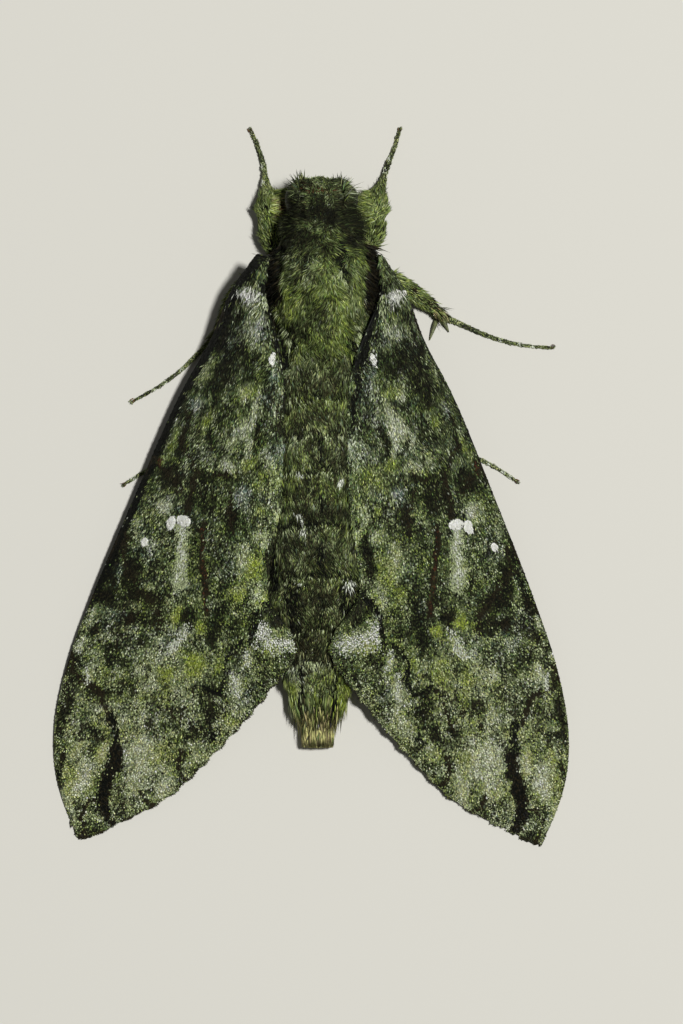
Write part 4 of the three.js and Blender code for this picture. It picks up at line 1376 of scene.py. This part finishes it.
BROW_TOTAL = 9000
brow_weight = trunk_weight * (triangle_y > 22.4) * (triangle_y < 26.6) * (triangle_aside > 0.8)
brow_weight = brow_weight * (triangle_up > 0.1) * (1 + 2 * (triangle_aside > 1.5))
places, normals = scatter(brow_weight, BROW_TOTAL, 85)
rng = np.random.default_rng(96)
coat = body_coat(places, normals, 85)
beside = np.abs(places[:, 0] - midline(places[:, 1]))
aside = np.sign(places[:, 0] - midline(places[:, 1]))
way = unit(np.column_stack([
    aside, rng.uniform(-0.9, 0.5, BROW_TOTAL), rng.uniform(-0.45, -0.05, BROW_TOTAL),
]))
longer = 0.55 * smooth((beside - 1.3) / 0.5) * smooth((26.2 - places[:, 1]) / 0.6)
body_coats.append(grow(
    "brow_hairs", places, normals, way, spread_values(rng, 0.95, 0.2, BROW_TOTAL) * (1 + longer),
    spread_values(rng, 0.062, 0.15, BROW_TOTAL), lift_to(way, normals, 0.1),
    coat.colours(calm=0.5), trunk_patch(places), shoulder=0.4, droop=0.1,
))

# %% [markdown]
# ### The tail brush
#
# Long flat blades lie packed like a paint brush. Those on the flat end of the tail stand nearly
# upright from it, so the brush doesn't end in a bare face.

# %% Tail brush
TAIL_BLADES = 5200
BRUSH_START_Y = -17.9
BRUSH_END_Y = -23.1
END_FACE_Y = -22.0
END_LIFT = 1.35
places, normals = scatter(tail_weight, TAIL_BLADES, 83)
rng = np.random.default_rng(93)
coat = body_coat(places, normals, 83)
mark_abdomen(coat, normals)
brush = smooth((BRUSH_START_Y - places[:, 1]) / 0.9)
coat.cover("sand", 0.75 * brush)
coat.cover("straw", 0.45 * brush)
count = len(places)
reach = np.maximum(places[:, 1] - BRUSH_END_Y, 0.25)
length = np.minimum(spread_values(rng, 2.2, 0.2, count), reach * rng.uniform(0.85, 1.0, count))
lie = np.column_stack([rng.normal(0, 0.10, count), -np.ones(count), np.zeros(count)])
lift = np.clip(rng.normal(0.10, 0.05, count), 0.0, 0.3)
lift = np.where((normals[:, 1] < -0.5) & (places[:, 1] < END_FACE_Y), END_LIFT, lift)
body_coats.append(grow(
    "tail_blades", places, normals, lie, length, spread_values(rng, 0.15, 0.15, count),
    lift, coat.colours(), trunk_patch(places), shoulder=0.6, ridge=0.2,
))

# %% [markdown]
# ## Scales on the legs
#
# The thigh and shin are shaggy, the foot is close-scaled with a pale ring at each joint. The lie
# runs down each leg, from its hip to its claws.

# %% Leg scales
LEG_SCALE_TOTAL = 27000
# For each leg, X and Y of its knee and of its foot's tip.
LEG_LINES = (
    ((5.0, 23.0), (7.3, 31.75)), ((-4.3, 23.0), (-6.05, 31.7)), ((6.1, 18.8), (21.0, 12.25)),
    ((-6.0, 18.6), (-16.55, 7.4)), ((5.4, 8.9), (17.8, 0.3)), ((-5.5, 8.7), (-17.3, 0.0)),
)
SPUR_ROOTS = ((10.6, 15.1), (-8.5, 14.0), (10.5, 4.0), (-10.8, 3.4))
LEG_RINGS = (
    (-4.95, 28.1), (6.2, 28.8), (5.85, 27.7), (16.0, 12.9), (17.7, 12.6), (18.85, 12.35),
    (-11.9, 10.4), (-13.45, 9.25), (-14.4, 8.6), (14.9, 1.95), (16.2, 1.3), (16.9, 0.9),
    (-4.9, 26.5), (-14.9, 1.5), (-16.2, 0.8),
)


def leg_patch(x, y):
    """The surface map of the legs is their own plan, squeezed into a square."""
    return np.column_stack([(x + 20) / 45, (y + 2) / 36])


leg_weight = triangle_area * (triangle_leg >= 0.5)
places, normals = scatter(leg_weight, LEG_SCALE_TOTAL, 84)
rng = np.random.default_rng(94)
x, y = places[:, 0], places[:, 1]
lines = np.array(LEG_LINES)
gap = np.array([path_distance(x, y, [tuple(knee), tuple(tip)]) for knee, tip in lines])
knee, tip = lines[gap.argmin(0)].transpose(1, 0, 2)
reach = tip - knee
down_leg = ((places[:, :2] - knee) * reach).sum(1) / (reach ** 2).sum(1)
past_foot = nearest_distance(foot_tree, places) - nearest_distance(shin_tree, places)
shaggy = smooth(past_foot / 0.8) * (1 - 0.75 * smooth((down_leg - 0.22) / 0.25))
coat = Coat(x, y, 95)
coat.lean(
    light=0.10 + 0.5 * mottle(x, y, 1.1, 15) + 0.15 * shaggy,
    brown=0.9 - 0.9 * shaggy, lime=0.1 + 0.4 * shaggy, frost=-0.5,
)
coat.draw()
for blotch in ((8.2, 17.4), (9.8, 16.4), (-7.4, 16.6), (-8.1, 15.2)):
    coat.spot("umber", blotch, (0.45, 0.4), 0.65)
for ring in LEG_RINGS:
    coat.spot("lichen", ring, (0.34, 0.34), 0.8)
    coat.spot("frost", ring, (0.22, 0.22), 0.7)
# The shins end in a brownish tuft round the roots of the spurs.
spur_gap = np.min([np.hypot(x - at_x, y - at_y) for at_x, at_y in SPUR_ROOTS], axis=0)
spur_near = smooth((1.1 - spur_gap) / 0.5)
coat.cover("umber", 0.25 * spur_near)
coat.cover("sand", 0.35 * spur_near)
lie = np.column_stack([unit(reach), np.zeros(len(x))]) + rng.normal(0, 0.2, (len(x), 3))
lie[:, 1] -= 1.1 * spur_near
length = spread_values(rng, 0.24 + 0.42 * shaggy, 0.2, len(x)) * (1 + 1.2 * spur_near)
lift = np.clip(rng.normal(0.16 + 0.25 * shaggy + 0.2 * spur_near, 0.1, len(x)), 0.02, 0.8)
body_coats.append(grow(
    "leg_scales", places, normals, lie, length, spread_values(rng, 0.075, 0.15, len(x)), lift,
    coat.colours(), leg_patch(x, y), shoulder=0.5, droop=0.05,
))

# %% [markdown]
# ### Tufts on the front shins
#
# A tuft of straw-yellow hairs rises from the inner side of each front shin to the eye. The left one
# shows more of its tawny roots, and its hairs are painted lighter, a painted highlight where the
# head's shadow falls on it.

# %% Shin tufts
TUFT_TOTAL = 1500
for side, sign, hair in (("left", 1, 1.7), ("right", -1, 1.0)):
    faces_in = triangle_normal @ (0.8 * sign, 0, 0.6) > 0.25
    shin_weight = leg_weight * (triangle_y > 23.3) * (triangle_y < 25.9)
    shin_weight = shin_weight * (sign * triangle_x < -1.5) * faces_in
    places, normals = scatter(shin_weight, TUFT_TOTAL, 87)
    rng = np.random.default_rng(98)
    x, y = places[:, 0], places[:, 1]
    coat = Coat(x, y, 99)
    # The left tuft is painted lighter: painted light against the shadow of the head.
    coat.lean(lime=0.7, light=0.6 if side == "left" else 0.2, brown=0.3, frost=-0.6)
    coat.draw()
    tawny = smooth((0.8 - np.abs(y - 24.3)) / 0.4) * smooth((sign * x + 4.6) / 0.6)
    tawny = tawny * (side == "left")
    coat.cover("sand", 0.5 * tawny)
    coat.cover("rust", 0.45 * tawny)
    way = unit(np.column_stack([
        np.full(TUFT_TOTAL, sign), rng.uniform(-0.5, 0.4, TUFT_TOTAL),
        rng.uniform(0.2, 1.1, TUFT_TOTAL),
    ]))
    body_coats.append(grow(
        f"shin_tuft_{side}", places, normals, way, spread_values(rng, hair, 0.22, TUFT_TOTAL),
        spread_values(rng, 0.075, 0.15, TUFT_TOTAL), lift_to(way, normals), coat.colours(),
        leg_patch(x, y), shoulder=0.4, droop=0.05,
    ))

# %% [markdown]
# ## Eyes, feelers, tongue, spurs and claws
#
# These are bare, so they are modelled. A hawk moth's eye is a big dark dome of hundreds of small
# lenses; the feeler is a rod of short segments, each a bit thicker in the middle; the tongue is
# rolled up like a watch spring between the palps. Each rod is one ring of edges, extruded from
# station to station and turned to follow its path.

# %% Rods
def curve_through(points, count):
    """Evenly counted places on a smooth path through a few points."""
    points = np.array(points, float)
    padded = np.vstack([2 * points[0] - points[1], points, 2 * points[-1] - points[-2]])
    where = np.linspace(0, len(points) - 1 - 1e-6, count)
    step = np.floor(where).astype(int)
    u = (where - step)[:, None]
    p0, p1, p2, p3 = (padded[step + k] for k in range(4))
    square = (2 * p0 - 5 * p1 + 4 * p2 - p3) * u ** 2
    cube = (3 * p1 - p0 - 3 * p2 + p3) * u ** 3
    return 0.5 * (2 * p1 + (p2 - p0) * u + square + cube)


def add_rod(bm, places, radii, sides):
    """A closed round rod through these places."""
    places = [Vector(p) for p in to_frame(places)]
    made = bmesh.ops.create_circle(bm, cap_ends=True, segments=sides, radius=1.0)
    verts = made["verts"]
    face = verts[0].link_faces[0]
    before = Matrix.Identity(4)
    for i, (place, radius) in enumerate(zip(places, radii)):
        ahead = places[min(i + 1, len(places) - 1)] - places[max(i - 1, 0)]
        turn = ahead.to_track_quat("Z", "Y").to_matrix().to_4x4()
        here = Matrix.Translation(place) @ turn @ Matrix.Scale(radius * MM, 4)
        if i > 0:
            out = bmesh.ops.extrude_face_region(bm, geom=[face])
            verts = [g for g in out["geom"] if isinstance(g, bmesh.types.BMVert)]
            face = next(g for g in out["geom"] if isinstance(g, bmesh.types.BMFace))
        bmesh.ops.transform(bm, matrix=here @ before.inverted(), verts=verts)
        before = here


def bare_piece(name, bm):
    """Turns a bmesh into a smooth-shaded piece that rides on the moth."""
    bmesh.ops.recalc_face_normals(bm, faces=bm.faces)
    mesh = new_mesh(name, bm)
    mesh.shade_smooth()
    piece = add_object(name, mesh)
    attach(piece, "root")
    print(name, "has", len(mesh.polygons), "faces")
    return piece


# %% Feelers
# Each place is X from the midline, Y, Z.
FEELER = [
    (1.45, 25.5, 8.1), (2.0, 25.05, 7.8), (2.4, 24.35, 7.3), (2.65, 23.5, 6.6),
    (2.95, 22.6, 5.75), (3.45, 21.6, 5.0), (4.1, 20.2, 4.55), (4.35, 18.6, 4.3),
    (4.75, 15.0, 4.15), (4.9, 11.0, 3.9), (5.05, 7.6, 3.5),
]
FEELER_SEGMENTS = 74
FEELER_SIDES = 10
feelers = {}
for side, sign in (("left", -1), ("right", 1)):
    path = np.array([(midline(y) + sign * x, y, z) for x, y, z in FEELER])
    stations = 2 * FEELER_SEGMENTS + 1
    along = np.linspace(0, 1, stations)
    swell = np.interp(along, [0, 0.03, 0.35, 0.85, 1.0], [0.24, 0.20, 0.27, 0.22, 0.07])
    swell = swell * np.where(np.arange(stations) % 2, 1.0, 0.84)
    bm = bmesh.new()
    add_rod(bm, curve_through(path, stations), swell, FEELER_SIDES)
    feelers[side] = bare_piece(f"feeler_{side}", bm)
    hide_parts(f"antenna_{side}")

# %% Eyes
# Domes set into the sides of the head, close to a ball in front and flattened sideways.
EYE_PLACE = (2.25, 24.95, 6.1)
EYE_RADII = (0.95, 1.4, 1.4)
eyes = {}
for side, sign in (("left", -1), ("right", 1)):
    bm = bmesh.new()
    bmesh.ops.create_uvsphere(bm, u_segments=48, v_segments=28, radius=MM)
    bmesh.ops.scale(bm, verts=bm.verts, vec=EYE_RADII)
    centre = to_frame([midline(EYE_PLACE[1]) + sign * EYE_PLACE[0], EYE_PLACE[1], EYE_PLACE[2]])
    bmesh.ops.translate(bm, verts=bm.verts, vec=centre)
    eyes[side] = bare_piece(f"eye_dome_{side}", bm)
    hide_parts(f"eye_{side}")

# %% Tongue
# A spiral of a little over two and a half turns, thinning to its tip.
TONGUE_MIDDLE = (25.7, 2.3)
TONGUE_TURNS = 2.6
TONGUE_STATIONS = 90
turn = np.linspace(0, 1, TONGUE_STATIONS)
angle = math.radians(100) + turn * TONGUE_TURNS * 2 * math.pi
radius = 1.16 - 0.92 * turn
bm = bmesh.new()
add_rod(bm, np.column_stack([
    np.full(TONGUE_STATIONS, midline(TONGUE_MIDDLE[0])),
    TONGUE_MIDDLE[0] + radius * np.cos(angle),
    TONGUE_MIDDLE[1] + radius * np.sin(angle),
]), np.linspace(0.14, 0.10, TONGUE_STATIONS), 10)
tongue = bare_piece("rolled_tongue", bm)
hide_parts("tongue_coil")

# %% Spurs and claws
SPUR_RADII = (0.12, 0.17, 0.20, 0.18, 0.14, 0.09, 0.03)
SPUR_ARCH = np.array([0, 0, 0.12])
CLAW_RADII = (0.05, 0.055, 0.05, 0.04, 0.03, 0.012)
# For each of a claw's three places: how far back from the foot's tip, how far aside, height
CLAW_BEND = ((0.42, 0.06, 0.22), (0.2, 0.15, 0.26), (0.04, 0.17, 0.05))
# Spurs at the ends of the middle and hind shins: root and tip
SPURS = (
    ((10.6, 15.0, 0.75), (9.9, 12.9, 0.35)), ((10.9, 15.1, 0.8), (11.6, 13.6, 0.35)),
    ((-8.4, 13.9, 0.75), (-8.7, 12.0, 0.35)), ((-8.8, 14.0, 0.8), (-10.0, 12.9, 0.35)),
    ((10.4, 4.0, 0.6), (10.6, 2.5, 0.3)), ((10.9, 3.9, 0.7), (12.0, 2.7, 0.3)),
    ((-10.7, 3.3, 0.6), (-10.8, 1.8, 0.3)), ((-11.2, 3.3, 0.7), (-12.2, 2.0, 0.3)),
)
bm = bmesh.new()
for root, tip in SPURS:
    path = [root, np.add(root, tip) / 2 + SPUR_ARCH, tip]
    add_rod(bm, curve_through(path, len(SPUR_RADII)), SPUR_RADII, 8)
spurs = bare_piece("shin_spurs", bm)

# A pair of curved claws at the tip of each foot
bm = bmesh.new()
for knee, tip in LEG_LINES:
    way = unit(np.array([np.subtract(tip, knee)]))[0]
    across = np.array([-way[1], way[0]])
    for sign in (-1, 1):
        path = [
            (*(np.array(tip) - back * way + aside * sign * across), height)
            for back, aside, height in CLAW_BEND
        ]
        add_rod(bm, curve_through(path, len(CLAW_RADII)), CLAW_RADII, 6)
claws = bare_piece("claws", bm)

# %% [markdown]
# ## Materials
#
# Scales are thin chitin: fairly rough, with a weak sheen and their colour in the pigment. The skin
# and the clear wing sheets are only glimpsed between them, so they carry the same
# markings, darkened by painted shade between the scales.

# %% Coat materials
def node(tree, kind, links=(), **settings):
    """Adds a shader node, sets its values and links sockets into it."""
    made = tree.nodes.new(kind)
    for key, value in settings.items():
        if key in made.inputs:
            made.inputs[key].default_value = value
        else:
            setattr(made, key, value)
    for socket, source in links:
        tree.links.new(source, made.inputs[socket])
    return made


def new_material(name, **settings):
    """A material with a plain principled shader, and the shader itself."""
    material = bpy.data.materials.new(name)
    material.use_nodes = True
    shader = material.node_tree.nodes["Principled BSDF"]
    for key, value in settings.items():
        shader.inputs[key.replace("_", " ")].default_value = value
    return material, material.node_tree, shader


def coat_material(name, roughness, specular):
    """Scales or hair: each one's own pigment, on thin chitin."""
    material, tree, shader = new_material(name, Roughness=roughness, IOR=1.5)
    shader.inputs["Specular IOR Level"].default_value = specular
    pigment = node(tree, "ShaderNodeAttribute", attribute_name="pigment")
    tree.links.new(pigment.outputs["Color"], shader.inputs["Base Color"])
    return material


wing_scale_stuff = coat_material("wing_scales", 0.6, 0.15)
fur_stuff = coat_material("body_fur", 0.65, 0.12)
leg_stuff = coat_material("leg_scales", 0.6, 0.15)


# %% Colour the skin and hand out the coats
# The skin and forewing sheets are darkened by this much: painted shade between the scales.
UNDER_SHADE = 0.35
HINDWING_SKIN = linear("3a3424")
body_under = body_coat(skin_points, skin_normals, 80)
mark_abdomen(body_under, skin_normals)
store_pigment(skin_mesh, body_under.colours() * UNDER_SHADE)
for side in WINGS:
    mesh = sheets["fore", side].data
    s, t = wing_plan(side, mesh_points(mesh))
    store_pigment(mesh, forewing_coat(side, s, t, 60).colours() * UNDER_SHADE)
    store_pigment(sheets["hind", side].data, HINDWING_SKIN)

for piece, material, slot in (
    *((p, wing_scale_stuff, "wing_scales") for p in wing_coats),
    *((p, wing_scale_stuff, "wing_scales") for p in sheets.values()),
    (skin, fur_stuff, "body_fur"),
    *((p, leg_stuff, "leg_scales") if p.name == "leg_scales" else (p, fur_stuff, "body_fur")
      for p in body_coats),
):
    piece.data.materials.clear()
    piece.data.materials.append(material)
    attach(piece, "root")
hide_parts(*TRUNK_NODES, *PALP_NODES, *LEG_NODES)
for side in WINGS:
    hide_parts(f"forewing_{side}")
    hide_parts(f"hindwing_{side}")
print(len(wing_coats), "coat pieces on the wings and", len(body_coats), "on the body")

# %% [markdown]
# ### Eyes, horn and feelers
#
# The eye is a dark lens of smooth chitin. Its hundreds of facets are a fine bump, drawn from cells
# a twentieth of a millimetre wide, so its shine is broken up. The tongue and the claws are amber
# horn, and the feelers and spurs are closely scaled, so soft two-tone patches stand for that.

# %% Bare materials
FACET = 0.05
FACET_DEPTH = 0.01
eye_stuff, eye_tree, eye_shader = new_material("eye_lens", Roughness=0.5)
eye_shader.inputs["Base Color"].default_value = (*linear("111308"), 1)
eye_shader.inputs["Specular IOR Level"].default_value = 0.16
where = node(eye_tree, "ShaderNodeTexCoord")
facets = node(
    eye_tree, "ShaderNodeTexVoronoi", [("Vector", where.outputs["Object"])],
    Scale=1 / (FACET * MM),
)
domes = node(
    eye_tree, "ShaderNodeBump", [("Height", facets.outputs["Distance"])],
    Strength=0.25, Distance=FACET_DEPTH * MM,
)
eye_tree.links.new(domes.outputs["Normal"], eye_shader.inputs["Normal"])


def mottled_material(name, dark, light, size, roughness):
    """A bare surface with soft two-tone patches of this size."""
    material, tree, shader = new_material(name, Roughness=roughness)
    where = node(tree, "ShaderNodeTexCoord")
    cloud = node(
        tree, "ShaderNodeTexNoise", [("Vector", where.outputs["Object"])],
        Scale=1 / (size * MM), Detail=3.0,
    )
    ramp = node(tree, "ShaderNodeValToRGB", [("Fac", cloud.outputs["Fac"])])
    for stop, place, colour in zip(ramp.color_ramp.elements, (0.35, 0.65), (dark, light)):
        stop.position = place
        stop.color = (*linear(colour), 1)
    tree.links.new(ramp.outputs["Color"], shader.inputs["Base Color"])
    return material


feeler_stuff = mottled_material("feeler_shaft", "2f3319", "5d6438", 0.5, 0.65)
tongue_stuff = mottled_material("tongue_horn", "3a2412", "6b4a28", 0.4, 0.35)
spur_stuff = mottled_material("spur_scales", "3c3f22", "6e7448", 0.3, 0.6)
print("bare materials:", [m.name for m in (eye_stuff, feeler_stuff, tongue_stuff, spur_stuff)])
for piece, stuff in (
    *((p, eye_stuff) for p in eyes.values()), *((p, feeler_stuff) for p in feelers.values()),
    (tongue, tongue_stuff), (claws, tongue_stuff), (spurs, spur_stuff),
):
    piece.data.materials.append(stuff)

# %% [markdown]
# ## Floor, light and camera
#
# The moth rests on a plain pale floor. One large soft lamp to its right, high up, gives the short
# soft shadow on its left, and a wide pale sky fills the rest. The camera looks straight down.

# %% Floor
FLOOR_SIZE = 1.5
floor_bm = bmesh.new()
bmesh.ops.create_grid(floor_bm, x_segments=1, y_segments=1, size=FLOOR_SIZE)
floor = add_object("floor", new_mesh("floor", floor_bm))
floor_stuff, _, floor_shader = new_material("pale_floor", Roughness=0.9)
floor_shader.inputs["Base Color"].default_value = (*linear("c4c2b9"), 1)
floor.data.materials.append(floor_stuff)

# %% Light
SKY_STRENGTH = 0.115
KEY_POWER = 9.55
KEY_ANGLE = math.radians(12)
KEY_DISTANCE = 0.9
KEY_SIZE = 0.07
world = bpy.data.worlds.new("studio")
bpy.context.scene.world = world
world.use_nodes = True
sky = world.node_tree.nodes["Background"]
sky.inputs["Color"].default_value = (1.0, 1.0, 1.0, 1)
sky.inputs["Strength"].default_value = SKY_STRENGTH

key = bpy.data.lights.new("key", "AREA")
key.shape = "DISK"
key.size = KEY_SIZE
key.energy = KEY_POWER
key_lamp = add_object("key", key)
key_lamp.location = (
    KEY_DISTANCE * math.sin(KEY_ANGLE), KEY_DISTANCE * 0.08, KEY_DISTANCE * math.cos(KEY_ANGLE),
)
key_lamp.rotation_mode = "QUATERNION"
key_lamp.rotation_quaternion = Vector(key_lamp.location).to_track_quat("Z", "Y")

# %% Camera
# The view is this tall at the floor, and its middle lies a little to one side of the moth's.
VIEW_HEIGHT = 90.6
LENS = 190.0
SENSOR = 36.0
VIEW_CENTRE = to_frame([2.1, -2.3, 0.0])
camera = bpy.data.cameras.new("camera")
camera.lens = LENS
camera.sensor_width = SENSOR
viewer = add_object("camera", camera)
distance = VIEW_HEIGHT * MM * LENS / SENSOR
viewer.location = (VIEW_CENTRE[0], VIEW_CENTRE[1], distance)
camera.clip_start = 0.01
camera.clip_end = 10
bpy.context.scene.camera = viewer
bpy.context.scene.view_settings.view_transform = "Standard"
